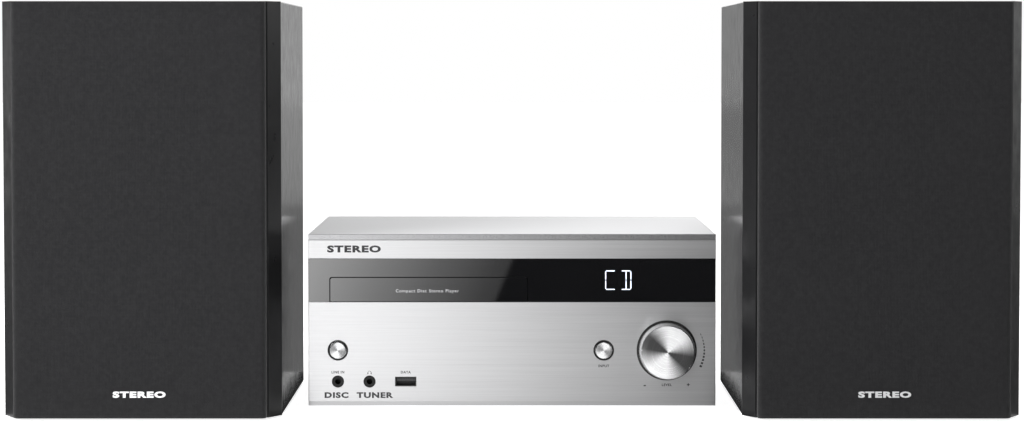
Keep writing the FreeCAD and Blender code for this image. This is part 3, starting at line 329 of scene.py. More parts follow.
@dataclass(frozen=True)
class Lacquer:
    """A deep gloss over a dark ground, with the faint waviness of a polished panel.

    Attributes:
        name: the finish's name.
        tone: the ground's colour.
        roughness: how soft the reflections are.
        wave: the waviness's height in metres.
        gloss: the specular level.
    """

    name: str
    tone: Colour
    roughness: float = 0.06
    wave: float = 0.00002
    gloss: float = 0.5

    def make(self) -> bpy.types.Material:
        """Build the material."""
        s = Shader(self.name)
        where = s.place()
        s.blend(s.span(s.noise(where, 25.0), 0.0, 1.0), tuple(c * 0.8 for c in self.tone), self.tone)
        s.set(Roughness=s.span(s.noise(where, 90.0, 4.0), self.roughness * 0.8, self.roughness * 1.3),
              Specular_IOR_Level=self.gloss)
        s.relief(s.noise(where, 60.0, 1.0), self.wave, 0.3)
        return s.material


@dataclass(frozen=True)
class Moulded:
    """Moulded plastic, rubber or paint with a fine relief.

    Attributes:
        name: the finish's name.
        tone: its colour.
        roughness: the average roughness.
        grain: how fine the relief is.
        metallic: 1 for a metal ground.
        depth: the relief's height in metres.
    """

    name: str
    tone: Colour
    roughness: float = 0.5
    grain: Relief = Relief.MEDIUM
    metallic: float = 0.0
    depth: float = 0.00003

    def make(self) -> bpy.types.Material:
        """Build the material."""
        s = Shader(self.name)
        where = s.place()
        fine = s.noise(where, self.grain.value, 2.0)
        s.blend(s.span(s.noise(where, 120.0, 3.0), 0.0, 1.0), tuple(c * 0.85 for c in self.tone), self.tone)
        s.set(Metallic=self.metallic,
              Roughness=s.span(fine, self.roughness * 0.85, min(1.0, self.roughness * 1.15)))
        s.relief(fine, self.depth, 0.5)
        return s.material


@dataclass(frozen=True)
class SatinCover:
    """Satin silver paint that turns to bare brushed metal on the front lip, whose darker colour there is
    painted shade.

    Attributes:
        name: the finish's name.
        tone: the paint's colour.
        shaded_lip_tone: the lip's colour, darkened as painted shade.
        lip_front: the lip's front plane.
        roughness: the average roughness.
    """

    name: str
    tone: Colour
    shaded_lip_tone: Colour
    lip_front: float
    roughness: float = 0.38

    def make(self) -> bpy.types.Material:
        """Build the material."""
        s = Shader(self.name)
        where = s.place()
        paint = s.span(s.parts(where)["Y"], 0.0, 1.0, self.lip_front + 0.0002, self.lip_front + 0.0005)
        # The lip turns to bare metal, which is real; its darker colour there is painted shade.
        s.blend(paint, self.shaded_lip_tone, self.tone)
        fine = s.noise(where, Relief.FINE.value, 2.0)
        rough = s.span(fine, self.roughness * 0.9, self.roughness * 1.1)
        s.set(Metallic=s.span(paint, 1.0, 0.55, 0.0, 1.0),
              Roughness=s.math("MULTIPLY", rough, s.span(paint, 0.75, 1.0, 0.0, 1.0)))
        s.relief(fine, 0.000006, 0.5)
        return s.material


@dataclass(frozen=True)
class WovenCloth:
    """A plain weave of matt black yarn, read from the piece's own coordinates.

    Attributes:
        name: the finish's name.
        yarn: the yarn's colour where it stands up.
        gap: the colour between the yarns.
        pitch: the distance between yarns in metres.
        sheen: how much the fibres catch grazing light.
    """

    name: str
    yarn: Colour
    gap: Colour
    pitch: float = 0.0009
    sheen: float = 0.25

    def make(self) -> bpy.types.Material:
        """Build the material."""
        s = Shader(self.name)
        parts = s.parts(s.node("ShaderNodeUVMap", uv_map="weave").outputs["UV"])
        turns = math.pi / self.pitch
        across = s.math("MULTIPLY", parts["X"], turns)
        along = s.math("MULTIPLY", parts["Y"], turns)
        warp = s.math("ABSOLUTE", s.math("SINE", across))
        weft = s.math("ABSOLUTE", s.math("SINE", along))
        over = s.math("MULTIPLY", s.math("SINE", s.math("ADD", across, math.pi / 2)),
                      s.math("SINE", s.math("ADD", along, math.pi / 2)))
        lift = s.span(over, 0.0, 1.0, -0.6, 0.6)
        low = s.math("MULTIPLY", warp, lift)
        high = s.math("MULTIPLY", weft, s.math("SUBTRACT", 1.0, lift))
        height = s.math("MAXIMUM", low, high)
        fuzz = s.noise(s.place(), 5200.0, 2.0)
        patch = s.noise(s.place(), 420.0, 3.0)
        body = s.math("MULTIPLY", height, s.span(fuzz, 0.7, 1.1))
        body = s.math("MULTIPLY", body, s.span(patch, 0.80, 1.10))
        s.blend(s.span(body, 0.0, 1.0, 0.15, 0.9), self.gap, self.yarn)
        s.set(Roughness=0.9, Specular_IOR_Level=0.15, Sheen_Weight=self.sheen, Sheen_Roughness=0.5)
        s.relief(body, self.pitch * 0.35, 0.7)
        return s.material


@dataclass(frozen=True)
class Glow:
    """A lit display segment.

    Attributes:
        name: the finish's name.
        tone: the light's colour.
        power: its strength.
    """

    name: str
    tone: Colour
    power: float

    def make(self) -> bpy.types.Material:
        """Build the material, a little brighter in the middle of each grain of phosphor."""
        s = Shader(self.name)
        s.blend(s.span(s.noise(s.place(), 3000.0), 0.0, 1.0), tuple(c * 0.9 for c in self.tone), self.tone)
        s.set(Emission_Color=self.tone, Emission_Strength=self.power, Roughness=0.5)
        return s.material


# ------------------------------------------------------------------- meshes
def finish_piece(name: str, mesh: bpy.types.Mesh, material: bpy.types.Material, body: str) -> bpy.types.Object:
    """Put a mesh in the scene as a piece of the object.

    Args:
        name: the piece's name.
        mesh: its mesh, with its place in its vertices.
        material: its finish.
        body: the body that it moves with.

    Returns:
        The piece.
    """
    piece = bpy.data.objects.new(name, mesh)
    bpy.context.scene.collection.objects.link(piece)
    mesh.materials.clear()
    mesh.materials.append(material)
    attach(piece, body)
    LOG.info("%s: %d faces on %s", name, len(mesh.polygons), body)
    return piece


def to_mesh(name: str, bm: bmesh.types.BMesh, smooth: bool = True) -> bpy.types.Mesh:
    """Close a bmesh into a mesh with its faces pointing outwards.

    Args:
        name: the mesh's name.
        bm: the bmesh, which is freed.
        smooth: shade it smooth.

    Returns:
        The mesh.
    """
    bmesh.ops.recalc_face_normals(bm, faces=bm.faces)
    mesh = bpy.data.meshes.new(name)
    bm.to_mesh(mesh)
    bm.free()
    mesh.polygons.foreach_set("use_smooth", [smooth] * len(mesh.polygons))
    return mesh


def thicken(bm: bmesh.types.BMesh, faces: Sequence[bmesh.types.BMFace], depth: float) -> None:
    """Make flat faces that look along -Y into plates.

    Args:
        bm: the bmesh.
        faces: the faces.
        depth: the plates' thickness, towards +Y.
    """
    grown = bmesh.ops.extrude_face_region(bm, geom=faces)
    moved = [item for item in grown["geom"] if isinstance(item, bmesh.types.BMVert)]
    bmesh.ops.translate(bm, vec=(0.0, depth, 0.0), verts=moved)


def lathe(profile: Sequence[tuple[float, float]], centre: Point, steps: int = 96) -> bmesh.types.BMesh:
    """A turned shape about an axis along Y.

    Args:
        profile: (radius, y) pairs from one end to the other; a radius of 0 closes on the axis.
        centre: a point that the axis passes through; its y is added to the profile's.
        steps: how many facets go round.

    Returns:
        The bmesh.
    """
    bm = bmesh.new()
    cx, cy, cz = centre
    angles = [2 * math.pi * step / steps for step in range(steps)]
    rings = [[bm.verts.new((cx + radius * math.cos(angle), cy + y, cz + radius * math.sin(angle)))
              for angle in (angles if radius else angles[:1])] for radius, y in profile]
    for first, second in zip(rings, rings[1:]):
        for step in range(steps):
            after = (step + 1) % steps
            corners = [first[step % len(first)], second[step % len(second)], second[after % len(second)],
                       first[after % len(first)]]
            bm.faces.new(list(dict.fromkeys(corners)))
    return bm


def words_mesh(name: str, text: str, height: float, centre: Point, thickness: float = 0.02 * MM,
               spread: float = 1.0, weight: float = 0.0, stretch: float = 1.0) -> bpy.types.Mesh:
    """Raised print on a surface that faces -Y.

    Args:
        name: the mesh's name.
        text: generic words or signs.
        height: the capital height.
        centre: the middle of the print.
        thickness: how far it stands up.
        spread: letter spacing, 1 for the usual.
        weight: how much the strokes are thickened on each side.
        stretch: how much wider than usual the letters are.

    Returns:
        The mesh, in place.
    """
    curve = bpy.data.curves.new(name, "FONT")
    curve.body = text
    curve.size = height / CAPITAL_SHARE
    curve.space_character = spread
    curve.align_x = "CENTER"
    curve.align_y = "CENTER"
    curve.extrude = thickness
    curve.offset = weight
    curve.resolution_u = 3
    holder = bpy.data.objects.new(name, curve)
    bpy.context.scene.collection.objects.link(holder)
    graph = bpy.context.evaluated_depsgraph_get()
    mesh = bpy.data.meshes.new_from_object(holder.evaluated_get(graph))
    bpy.data.objects.remove(holder)
    mesh.transform(Matrix.Translation(Vector(centre)) @ Matrix.Rotation(math.pi / 2, 4, "X")
                   @ Matrix.Diagonal((stretch, 1.0, 1.0, 1.0)))
    mesh.name = name
    return mesh


class GeometryTree(Tree):
    """A Geometry Nodes tree under construction."""

    def __init__(self, name: str, inputs: dict[str, tuple[str, object]]) -> None:
        """Start a tree with named inputs.

        Args:
            name: the tree's name.
            inputs: each input's name, its socket type and its value.
        """
        super().__init__(bpy.data.node_groups.new(name, "GeometryNodeTree"))
        self.values = {}
        for key, (kind, value) in inputs.items():
            socket = self.tree.interface.new_socket(key, in_out="INPUT", socket_type=kind)
            self.values[socket.identifier] = value
        self.tree.interface.new_socket("Geometry", in_out="OUTPUT", socket_type="NodeSocketGeometry")
        self.source = self.node("NodeGroupInput")

    def named(self, key: str) -> bpy.types.NodeSocket:
        """The socket of a named input."""
        return self.source.outputs[key]

    def bake(self, name: str, geometry: bpy.types.NodeSocket, material: bpy.types.Material) -> bpy.types.Mesh:
        """End the tree in Realize Instances and Set Material, and turn it into a plain mesh.

        Args:
            name: the mesh's name.
            geometry: what the tree made.
            material: the finish.

        Returns:
            The mesh.
        """
        real = self.node("GeometryNodeRealizeInstances", {"Geometry": geometry})
        dressed = self.node("GeometryNodeSetMaterial", {"Geometry": real.outputs["Geometry"],
                                                        "Material": material})
        self.node("NodeGroupOutput", {"Geometry": dressed.outputs["Geometry"]})
        holder = bpy.data.objects.new(name, bpy.data.meshes.new(name + "_seed"))
        bpy.context.scene.collection.objects.link(holder)
        modifier = holder.modifiers.new(name, "NODES")
        modifier.node_group = self.tree
        for identifier, value in self.values.items():
            modifier[identifier] = value
        graph = bpy.context.evaluated_depsgraph_get()
        mesh = bpy.data.meshes.new_from_object(holder.evaluated_get(graph))
        holder.modifiers.clear()
        bpy.data.objects.remove(holder)
        mesh.name = name
        return mesh


def middle_of(node: str) -> Vector:
    """The middle of a CAD node's box."""
    low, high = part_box(node)
    return (Vector(low) + Vector(high)) / 2


# ----------------------------------------------------------------- finishes
BRUSHED = BrushedMetal("brushed_fascia", (0.86, 0.86, 0.87))
# The second colour is the lip's, darkened as painted shade.
COVER = SatinCover("silver_cover", (0.66, 0.66, 0.67), (0.45, 0.45, 0.46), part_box("top_cover")[0][1])
WINDOW = Lacquer("smoked_window", (0.0022, 0.0022, 0.0026), 0.025, 0.000002, 1.0)
LACQUER = Lacquer("black_lacquer", (0.010, 0.010, 0.011), 0.15, 0.00001)
SATIN = Lacquer("black_satin", (0.0075, 0.0075, 0.008), 0.34, 0.00001, 0.22)
BLACK_PLASTIC = Moulded("black_plastic", (0.030, 0.030, 0.031), 0.45)
DARK_GLOSS = Moulded("dark_gloss_ring", (0.012, 0.012, 0.012), 0.16, Relief.FINE, 0.0, 0.00001)
TRAY_PLASTIC = Moulded("tray_plastic", (0.035, 0.035, 0.037), 0.40)
ACETAL = Moulded("acetal", (0.78, 0.76, 0.70), 0.35, Relief.FINE)
ZINC = Moulded("zinc_sheet", (0.60, 0.61, 0.62), 0.38, Relief.COARSE, 1.0, 0.00001)
POWDER = Moulded("black_powder_coat", (0.028, 0.028, 0.030), 0.55, Relief.COARSE, 0.0, 0.00005)
STEEL = Moulded("plated_screws", (0.42, 0.42, 0.43), 0.28, Relief.FINE, 1.0, 0.000008)
BLACK_STEEL = Moulded("black_screws", (0.05, 0.05, 0.05), 0.32, Relief.FINE, 0.8, 0.000008)
RUBBER = Moulded("rubber", (0.020, 0.020, 0.021), 0.72)
NICKEL = Moulded("nickel", (0.58, 0.57, 0.55), 0.22, Relief.FINE, 1.0, 0.000006)
DARK_NICKEL = Moulded("dark_nickel", (0.045, 0.045, 0.046), 0.30, Relief.FINE, 0.6, 0.000006)
JACK_BLACK = Moulded("jack_black", (0.004, 0.004, 0.004), 0.5, Relief.FINE, 0.0, 0.00001)
BOARD = Moulded("circuit_board", (0.020, 0.110, 0.055), 0.35)
CONE = Moulded("coated_paper", (0.042, 0.042, 0.045), 0.62, Relief.COARSE, 0.0, 0.00008)
DRIVER = Moulded("driver_metal", (0.035, 0.035, 0.036), 0.38)
RED_CAP = Moulded("red_cap", (0.50, 0.012, 0.012), 0.28, Relief.FINE, 0.0, 0.00001)
BLACK_CAP = Moulded("black_cap", (0.018, 0.018, 0.018), 0.28, Relief.FINE, 0.0, 0.00001)
WHITE_INSULATOR = Moulded("white_insulator", (0.7, 0.7, 0.68), 0.4)
BADGE = BrushedMetal("badge_metal", (0.85, 0.85, 0.86), 0.32, metallic=0.6)
PRINT_DARK = Moulded("dark_print", (0.030, 0.030, 0.032), 0.6, Relief.FINE, 0.0, 0.000004)
PRINT_PALE = Moulded("pale_print", (0.40, 0.40, 0.41), 0.55, Relief.FINE, 0.0, 0.000004)
CLOTH = WovenCloth("grille_cloth", (0.0220, 0.0220, 0.0230), (0.0036, 0.0036, 0.0040), sheen=0.10)
DISPLAY = Glow("display_segment", (0.78, 0.84, 1.0), 0.85)

NODE_FINISHES = {
    BRUSHED: ("fascia_panel", "fascia_header"),
    COVER: ("top_cover",),
    WINDOW: ("display_window", "tray_door"),
    DARK_GLOSS: ("knob_ring", "display_module"),
    BLACK_PLASTIC: ("fascia_carrier", "loader_frame", "mains_inlet", "speaker_terminals",
                    "pickup_sled", "turntable"),
    TRAY_PLASTIC: ("disc_tray",),
    ACETAL: ("loading_gear",),
    ZINC: ("chassis_pan",),
    POWDER: ("back_panel",),
    STEEL: ("case_screws",),
    RUBBER: ("receiver_feet",),
    NICKEL: ("rear_sockets",),
    DARK_NICKEL: ("usb_socket",),
    JACK_BLACK: ("front_sockets",),
    BOARD: ("main_board", "power_supply", "front_board"),
    RED_CAP: ("receiver_cap_right_red", "receiver_cap_left_red"),
    BLACK_CAP: ("receiver_cap_right_black", "receiver_cap_left_black"),
}
SPEAKER_FINISHES = {
    LACQUER: ("speaker_cabinet",),
    SATIN: ("baffle",),
    BLACK_PLASTIC: ("grille_frame", "port_tube", "terminal_plate"),
    DRIVER: ("woofer_frame", "tweeter"),
    CONE: ("woofer_cone",),
    RUBBER: ("woofer_surround", "speaker_feet"),
    RED_CAP: ("terminal_cap_red",),
    BLACK_CAP: ("terminal_cap_black",),
    BLACK_STEEL: ("speaker_screws",),
}


class Wardrobe:
    """Builds each finish once and dresses the CAD nodes."""

    def __init__(self) -> None:
        """Start with no finish built."""
        self.built: dict[object, bpy.types.Material] = {}

    def material(self, finish: object) -> bpy.types.Material:
        """The material of a finish, built on first use.

        Args:
            finish: one of the finish classes' values.

        Returns:
            The material.
        """
        if finish not in self.built:
            self.built[finish] = finish.make()
        return self.built[finish]

    def dress(self, node: str, finish: object) -> None:
        """Give a CAD node its finish.

        Args:
            node: the node's name.
            finish: one of the finish classes' values.
        """
        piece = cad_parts[node]
        material = self.material(finish)
        if piece.material_slots:
            for slot in piece.material_slots:
                slot.material = material
        else:
            piece.data.materials.append(material)
        LOG.info("%s dressed in %s", node, material.name)

    def dress_all(self) -> None:
        """Dress every node that keeps its CAD shape."""
        for finish, nodes in NODE_FINISHES.items():
            for node in nodes:
                self.dress(node, finish)
        for side in SIDES:
            for finish, nodes in SPEAKER_FINISHES.items():
                for node in nodes:
                    self.dress(f"{side}_{node}", finish)


# ----------------------------------------------------------------- receiver
@dataclass
class SpunFace:
    """The lathe-turned disc let into the front of a knob or a button.

    Attributes:
        name: the piece's name.
        node: the CAD node that carries it.
        body: the body that it moves with.
        margin: how much smaller than the node's face it is.
        painted_fans: how strong the painted highlight and shade fans in its colour are.
        lift: how far it stands in front of the node.
        dish: how much lower its middle is than its rim.
    """

    name: str
    node: str
    body: str
    margin: float
    painted_fans: float
    lift: float = 0.12 * MM
    dish: float = 0.05 * MM

    def build(self, radius: float, wardrobe: Wardrobe) -> bpy.types.Object:
        """Turn the disc and set it on the node's front.

        Args:
            radius: the node's front radius.
            wardrobe: the finishes.

        Returns:
            The piece.
        """
        axis = middle_of(self.node)
        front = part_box(self.node)[0][1]
        edge = radius - self.margin
        chamfer = 0.15 * MM
        root = 0.3 * MM
        shares = (0.0, 0.1, 0.25, 0.5, 0.75)
        profile = [(edge * share, self.dish * (1 - share) - self.lift) for share in shares]
        profile += [(edge - chamfer, -self.lift), (edge, chamfer * 0.6 - self.lift), (edge, root),
                    (0.0, root)]
        mesh = to_mesh(self.name, lathe(profile, (axis.x, front, axis.z), 128))
        # The face's colour carries fans of painted highlight and painted shade.
        finish = SpunMetal(self.name + "_spun", (0.88, 0.88, 0.89), (axis.x, 0.0, axis.z), painted_fans=self.painted_fans,
                           metallic=0.55)
        return finish_piece(self.name, mesh, wardrobe.material(finish), self.body)


@dataclass
class Controls:
    """The knob, the buttons and the printed arc of level marks.

    Attributes:
        knob_face_radius: the knob's front radius.
        button_face_radius: the buttons' front radius.
        knob_rim: the polished rim left round the knob's turned face.
        button_rim: the same round a button's.
        knob_painted_fans: how strong the painted highlight and shade fans on the knob's face are.
        button_painted_fans: the same on a button's.
        arc_radius: the level marks' distance from the knob's axis.
        arc_half_angle: the marks' reach above and below the knob's middle, in degrees.
        arc_marks: how many marks there are.
        mark_length: a mark's length along the arc.
        thin_mark: the top mark's width.
        thick_mark: the bottom mark's width.
        mark_depth: the ink's thickness.
    """

    knob_face_radius: float = 17.15 * MM
    button_face_radius: float = 5.25 * MM
    knob_rim: float = 0.55 * MM
    button_rim: float = 0.22 * MM
    # The fans on the knob's and the buttons' faces are painted highlight and painted shade.
    knob_painted_fans: float = 0.94
    button_painted_fans: float = 0.74
    arc_radius: float = 24.0 * MM
    arc_half_angle: float = 25.0
    arc_marks: int = 11
    mark_length: float = 1.25 * MM
    thin_mark: float = 0.34 * MM
    thick_mark: float = 1.50 * MM
    mark_depth: float = 0.04 * MM

    def polished(self, node: str) -> SpunMetal:
        """The polished side of a turned control."""
        axis = middle_of(node)
        return SpunMetal(node + "_side", (0.86, 0.86, 0.87), (axis.x, 0.0, axis.z), 0.14, 0.4)

    def faces(self, wardrobe: Wardrobe) -> None:
        """Dress the controls and add their turned faces."""
        knob = (self.knob_face_radius, self.knob_rim, self.knob_painted_fans)
        button = (self.button_face_radius, self.button_rim, self.button_painted_fans)
        for node, (radius, rim, painted_fans) in (("volume_knob", knob), ("power_button", button),
                                          ("source_button", button)):
            wardrobe.dress(node, self.polished(node))
            SpunFace(node + "_face", node, node, rim, painted_fans).build(radius, wardrobe)

    def arc_tree(self) -> GeometryTree:
        """A tree that lays bars along an arc, each thicker than the one before."""
        return GeometryTree("level_arc", {
            "Marks": ("NodeSocketInt", self.arc_marks),
            "Radius": ("NodeSocketFloat", self.arc_radius),
            "Start": ("NodeSocketFloat", math.radians(self.arc_half_angle)),
            "Sweep": ("NodeSocketFloat", math.radians(-2 * self.arc_half_angle)),
            "Thin": ("NodeSocketFloat", self.thin_mark),
            "Thick": ("NodeSocketFloat", self.thick_mark),
            "Length": ("NodeSocketFloat", self.mark_length),
        })

    def level_arc(self, wardrobe: Wardrobe) -> bpy.types.Object:
        """The printed marks beside the knob, from thin at the top to thick at the bottom."""
        t = self.arc_tree()
        last = t.math("SUBTRACT", t.named("Marks"), 1.0)
        share = t.math("DIVIDE", t.node("GeometryNodeInputIndex").outputs["Index"], last)
        angle = t.math("MULTIPLY_ADD", share, t.named("Sweep"), t.named("Start"))
        across, up = (t.math("MULTIPLY", t.math(part, angle), t.named("Radius"))
                      for part in ("COSINE", "SINE"))
        place = t.node("ShaderNodeCombineXYZ", {"X": across, "Z": up})
        turn = t.node("ShaderNodeCombineXYZ", {"Y": t.math("MULTIPLY", angle, -1.0)})
        width = t.node("ShaderNodeMapRange", {"Value": share, "To Min": t.named("Thin"),
                                              "To Max": t.named("Thick")})
        size = t.node("ShaderNodeCombineXYZ", {"X": width.outputs["Result"], "Y": self.mark_depth,
                                               "Z": t.named("Length")})
        line = t.node("GeometryNodeMeshLine", {"Count": t.named("Marks")})
        points = t.node("GeometryNodeSetPosition", {"Geometry": line.outputs["Mesh"],
                                                    "Position": place.outputs["Vector"]})
        bar = t.node("GeometryNodeMeshCube", {"Size": (1.0, 1.0, 1.0)})
        bars = t.node("GeometryNodeInstanceOnPoints", {"Points": points.outputs["Geometry"],
                                                       "Instance": bar.outputs["Mesh"],
                                                       "Rotation": turn.outputs["Vector"],
                                                       "Scale": size.outputs["Vector"]})
        ink = wardrobe.material(PRINT_DARK)
        mesh = t.bake("level_arc", bars.outputs["Instances"], ink)
        knob = middle_of("volume_knob")
        mesh.transform(Matrix.Translation((knob.x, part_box("fascia_panel")[0][1], knob.z)))
        return finish_piece("level_arc", mesh, ink, "receiver")


@dataclass(frozen=True)
class PrintedWord:
    """One word on the front.

    Attributes:
        name: the piece's name.
        text: what it says.
        height: its capital height.
        place: its middle.
        stretch: how much wider than usual its letters are.
        weight: how much its strokes are thickened, as a share of its height.
    """

    name: str
    text: str
    height: float
    place: Point
    stretch: float = 1.0
    weight: float = 0.045


@dataclass
class FrontPrint:
    """Generic words and signs printed on the front.

    Attributes:
        small: the capital height of the words by the controls.
        title: the capital height of the word on the header.
        feature: the capital height of the two words near the foot.
        level_drop: how far the knob's print lies below its middle.
        input_drop: how far the source button's word lies below its middle.
        label_rise: how far the sockets' words lie above the USB socket's middle.
        title_inset: the title's distance from the fascia's left edge.
        feature_insets: the same for the two words near the foot.
        feature_rise: their height above the fascia's lower edge.
        wide: how much wider than usual the bold letters are.
    """

    small: float = 1.6 * MM
    title: float = 4.15 * MM
    feature: float = 3.4 * MM
    level_drop: float = 22.2 * MM
    input_drop: float = 10.1 * MM
    label_rise: float = 5.9 * MM
    title_inset: float = 29.3 * MM
    feature_insets: tuple[float, float] = (17.8 * MM, 42.2 * MM)
    feature_rise: float = 6.7 * MM
    wide: float = 1.38

    def words(self) -> Iterable[PrintedWord]:
        """Each word that is printed in the dark ink.

        Yields:
            One word after another.
        """
        (left, front, bottom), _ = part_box("fascia_panel")
        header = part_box("fascia_header")
        knob, source = middle_of("volume_knob"), middle_of("source_button")
        power, usb = middle_of("power_button"), middle_of("usb_socket")
        level_z = knob.z - self.level_drop
        label_z = usb.z + self.label_rise
        foot_z = bottom + self.feature_rise
        disc_x, tuner_x = (left + inset for inset in self.feature_insets)
        yield PrintedWord("print_level", "LEVEL", self.small, (knob.x, front, level_z))
        yield PrintedWord("print_minus", "-", self.small * 2.2, (knob.x - 14.0 * MM, front, level_z))
        yield PrintedWord("print_plus", "+", self.small * 1.6, (knob.x + 13.8 * MM, front, level_z))
        yield PrintedWord("print_input", "INPUT", self.small, (source.x, front, source.z - self.input_drop))
        yield PrintedWord("print_line_in", "LINE IN", self.small, (power.x, front, label_z))
        yield PrintedWord("print_data", "DATA", self.small, (usb.x, front, label_z))
        title_place = (left + self.title_inset, header[0][1], (header[0][2] + header[1][2]) / 2)
        yield PrintedWord("print_title", "STEREO", self.title, title_place, 1.55, 0.07)
        yield PrintedWord("print_disc", "DISC", self.feature, (disc_x, front, foot_z), self.wide, 0.07)
        yield PrintedWord("print_tuner", "TUNER", self.feature, (tuner_x, front, foot_z), self.wide, 0.07)

    def build(self, wardrobe: Wardrobe) -> None:
        """Print the words, the headphone sign and the drawer's line."""
        ink = wardrobe.material(PRINT_DARK)
        for word in self.words():
            mesh = words_mesh(word.name, word.text, word.height, word.place, spread=1.15,
                              weight=word.height * word.weight, stretch=word.stretch)
            finish_piece(word.name, mesh, ink, "receiver")
        self.headphone_sign(wardrobe)
        low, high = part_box("tray_door")
        place = ((low[0] + high[0]) / 2 - 1.0 * MM, low[1], low[2] + 6.9 * MM)
        line = words_mesh("print_drawer", "Compact Disc Stereo Player", 2.1 * MM, place, spread=1.2)
        finish_piece("print_drawer", line, wardrobe.material(PRINT_PALE), "tray")

    def headphone_sign(self, wardrobe: Wardrobe) -> bpy.types.Object:
        """A headband and two ear cups, printed above the headphone socket."""
        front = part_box("fascia_panel")[0][1]
        socket_radius = 4.75 * MM
        radius, stroke, steps = 1.15 * MM, 0.22 * MM, 14
        lift, depth = 0.02 * MM, 0.04 * MM
        cup_width, cup_height = 0.55 * MM, 1.0 * MM
        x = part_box("front_sockets")[1][0] - socket_radius
        z = middle_of("usb_socket").z + 5.7 * MM
        bm = bmesh.new()
        angles = [math.pi * step / steps for step in range(steps + 1)]
        rows = [[bm.verts.new((x + reach * math.cos(angle), front - lift, z + reach * math.sin(angle)))
                 for reach in (radius - stroke, radius)] for angle in angles]
        for (inner, outer), (next_inner, next_outer) in zip(rows, rows[1:]):
            bm.faces.new((inner, outer, next_outer, next_inner))
        thicken(bm, bm.faces[:], depth)
        for side in (-1, 1):
            cup = bmesh.ops.create_cube(bm, size=1.0)["verts"]
            bmesh.ops.scale(bm, vec=(cup_width, depth, cup_height), verts=cup)
            middle = (x + side * (radius - 0.1 * MM), front, z - 0.45 * MM)
            bmesh.ops.translate(bm, vec=middle, verts=cup)
        mesh = to_mesh("print_headphones", bm, False)
        return finish_piece("print_headphones", mesh, wardrobe.material(PRINT_DARK), "receiver")


class Segment(Enum):
    """The strokes of a display character: start and end in half-widths and half-heights."""

    TOP = ((-1.0, 1.0), (1.0, 1.0))
    BOTTOM = ((-1.0, -1.0), (1.0, -1.0))
    RIGHT_UP = ((1.0, 1.0), (1.0, 0.0))
    RIGHT_DOWN = ((1.0, 0.0), (1.0, -1.0))
    LEFT_UP = ((-1.0, 1.0), (-1.0, 0.0))
    LEFT_DOWN = ((-1.0, 0.0), (-1.0, -1.0))
    STEM_UP = ((0.0, 1.0), (0.0, 0.0))
    STEM_DOWN = ((0.0, 0.0), (0.0, -1.0))


@dataclass
class DisplayCharacters:
    """Two lit characters behind the window, a C and a D.

    Attributes:
        height: a character's height.
        width: a character's width.
        pitch: the distance between the two.
        stroke: a segment's width.
        gap: the space left at each segment's ends.
        lift: how far the segments stand in front of the window.
        depth: their thickness.
    """

    height: float = 11.8 * MM
    width: float = 6.2 * MM
    pitch: float = 9.9 * MM
    stroke: float = 0.54 * MM
    gap: float = 0.50 * MM
    lift: float = 0.03 * MM
    depth: float = 0.05 * MM

    def build(self, wardrobe: Wardrobe) -> None:
        """Lay the segments just in front of the window."""
        c = (Segment.TOP, Segment.LEFT_UP, Segment.LEFT_DOWN, Segment.BOTTOM)
        d = (Segment.TOP, Segment.STEM_UP, Segment.STEM_DOWN, Segment.RIGHT_UP, Segment.RIGHT_DOWN,
             Segment.BOTTOM)
        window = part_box("display_window")
        centre_x = middle_of("display_module").x - 0.3 * MM
        centre_z = (window[0][2] + window[1][2]) / 2 + 0.2 * MM
        bm = bmesh.new()
        for offset, strokes in ((-0.5, c), (0.5, d)):
            for stroke in strokes:
                self.add(bm, stroke, centre_x + offset * self.pitch, centre_z, window[0][1])
        mesh = to_mesh("display_characters", bm, False)
        finish_piece("display_characters", mesh, wardrobe.material(DISPLAY), "receiver")

    def add(self, bm: bmesh.types.BMesh, segment: Segment, x: float, z: float, front: float) -> None:
        """Add one pointed bar.

        Args:
            bm: what it is added to.
            segment: which stroke.
            x: the character's middle from left to right.
            z: the character's middle in height.
            front: the window's front face.
        """
        (ax, az), (bx, bz) = segment.value
        start = Vector((x + ax * self.width / 2, z + az * self.height / 2))
        end = Vector((x + bx * self.width / 2, z + bz * self.height / 2))
        along = (end - start).normalized()
        side = Vector((-along.y, along.x)) * self.stroke / 2
        first = start + along * self.gap
        last = end - along * self.gap
        tip = along * self.stroke / 2
        outline = [first - tip * 0.6, first + side, last + side, last + tip * 0.6, last - side, first - side]
        face = bm.faces.new([bm.verts.new((p.x, front - self.lift, p.y)) for p in outline])
        thicken(bm, [face], self.depth)


@dataclass
class RearRings:
    """Coloured insulators in the mouths of the rear phono sockets.

    Attributes:
        outer: the ring's outer radius.
        inner: the ring's inner radius.
        thickness: how far the ring stands up.
        chamfer: the width of its chamfers.
        sunk: how deep its foot lies in the socket's mouth.
        socket_inset: the first socket's axis from the group's left end.
        pitch: the distance between the sockets.
    """

    outer: float = 3.4 * MM
    inner: float = 1.7 * MM
    thickness: float = 0.3 * MM
    chamfer: float = 0.2 * MM
    sunk: float = 0.25 * MM
    socket_inset: float = 5.15 * MM
    pitch: float = 14.0 * MM

    def build(self, wardrobe: Wardrobe) -> None:
        """Set a ring on each phono socket's end."""
        low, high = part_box("rear_sockets")
        z = (low[2] + high[2]) / 2
        half = self.thickness / 2
        profile = [(self.inner, 0.0), (self.inner, half), (self.inner + self.chamfer, self.thickness),
                   (self.outer - self.chamfer, self.thickness), (self.outer, half), (self.outer, 0.0),
                   (self.inner, 0.0)]
        for name, step, finish in (("phono_ring_white", 0, WHITE_INSULATOR), ("phono_ring_red", 1, RED_CAP)):
            x = low[0] + self.socket_inset + self.pitch * step
            band = lathe(profile, (x, high[1] - self.sunk, z), 48)
            bmesh.ops.remove_doubles(band, verts=band.verts, dist=1e-7)
            finish_piece(name, to_mesh(name, band), wardrobe.material(finish), "receiver")


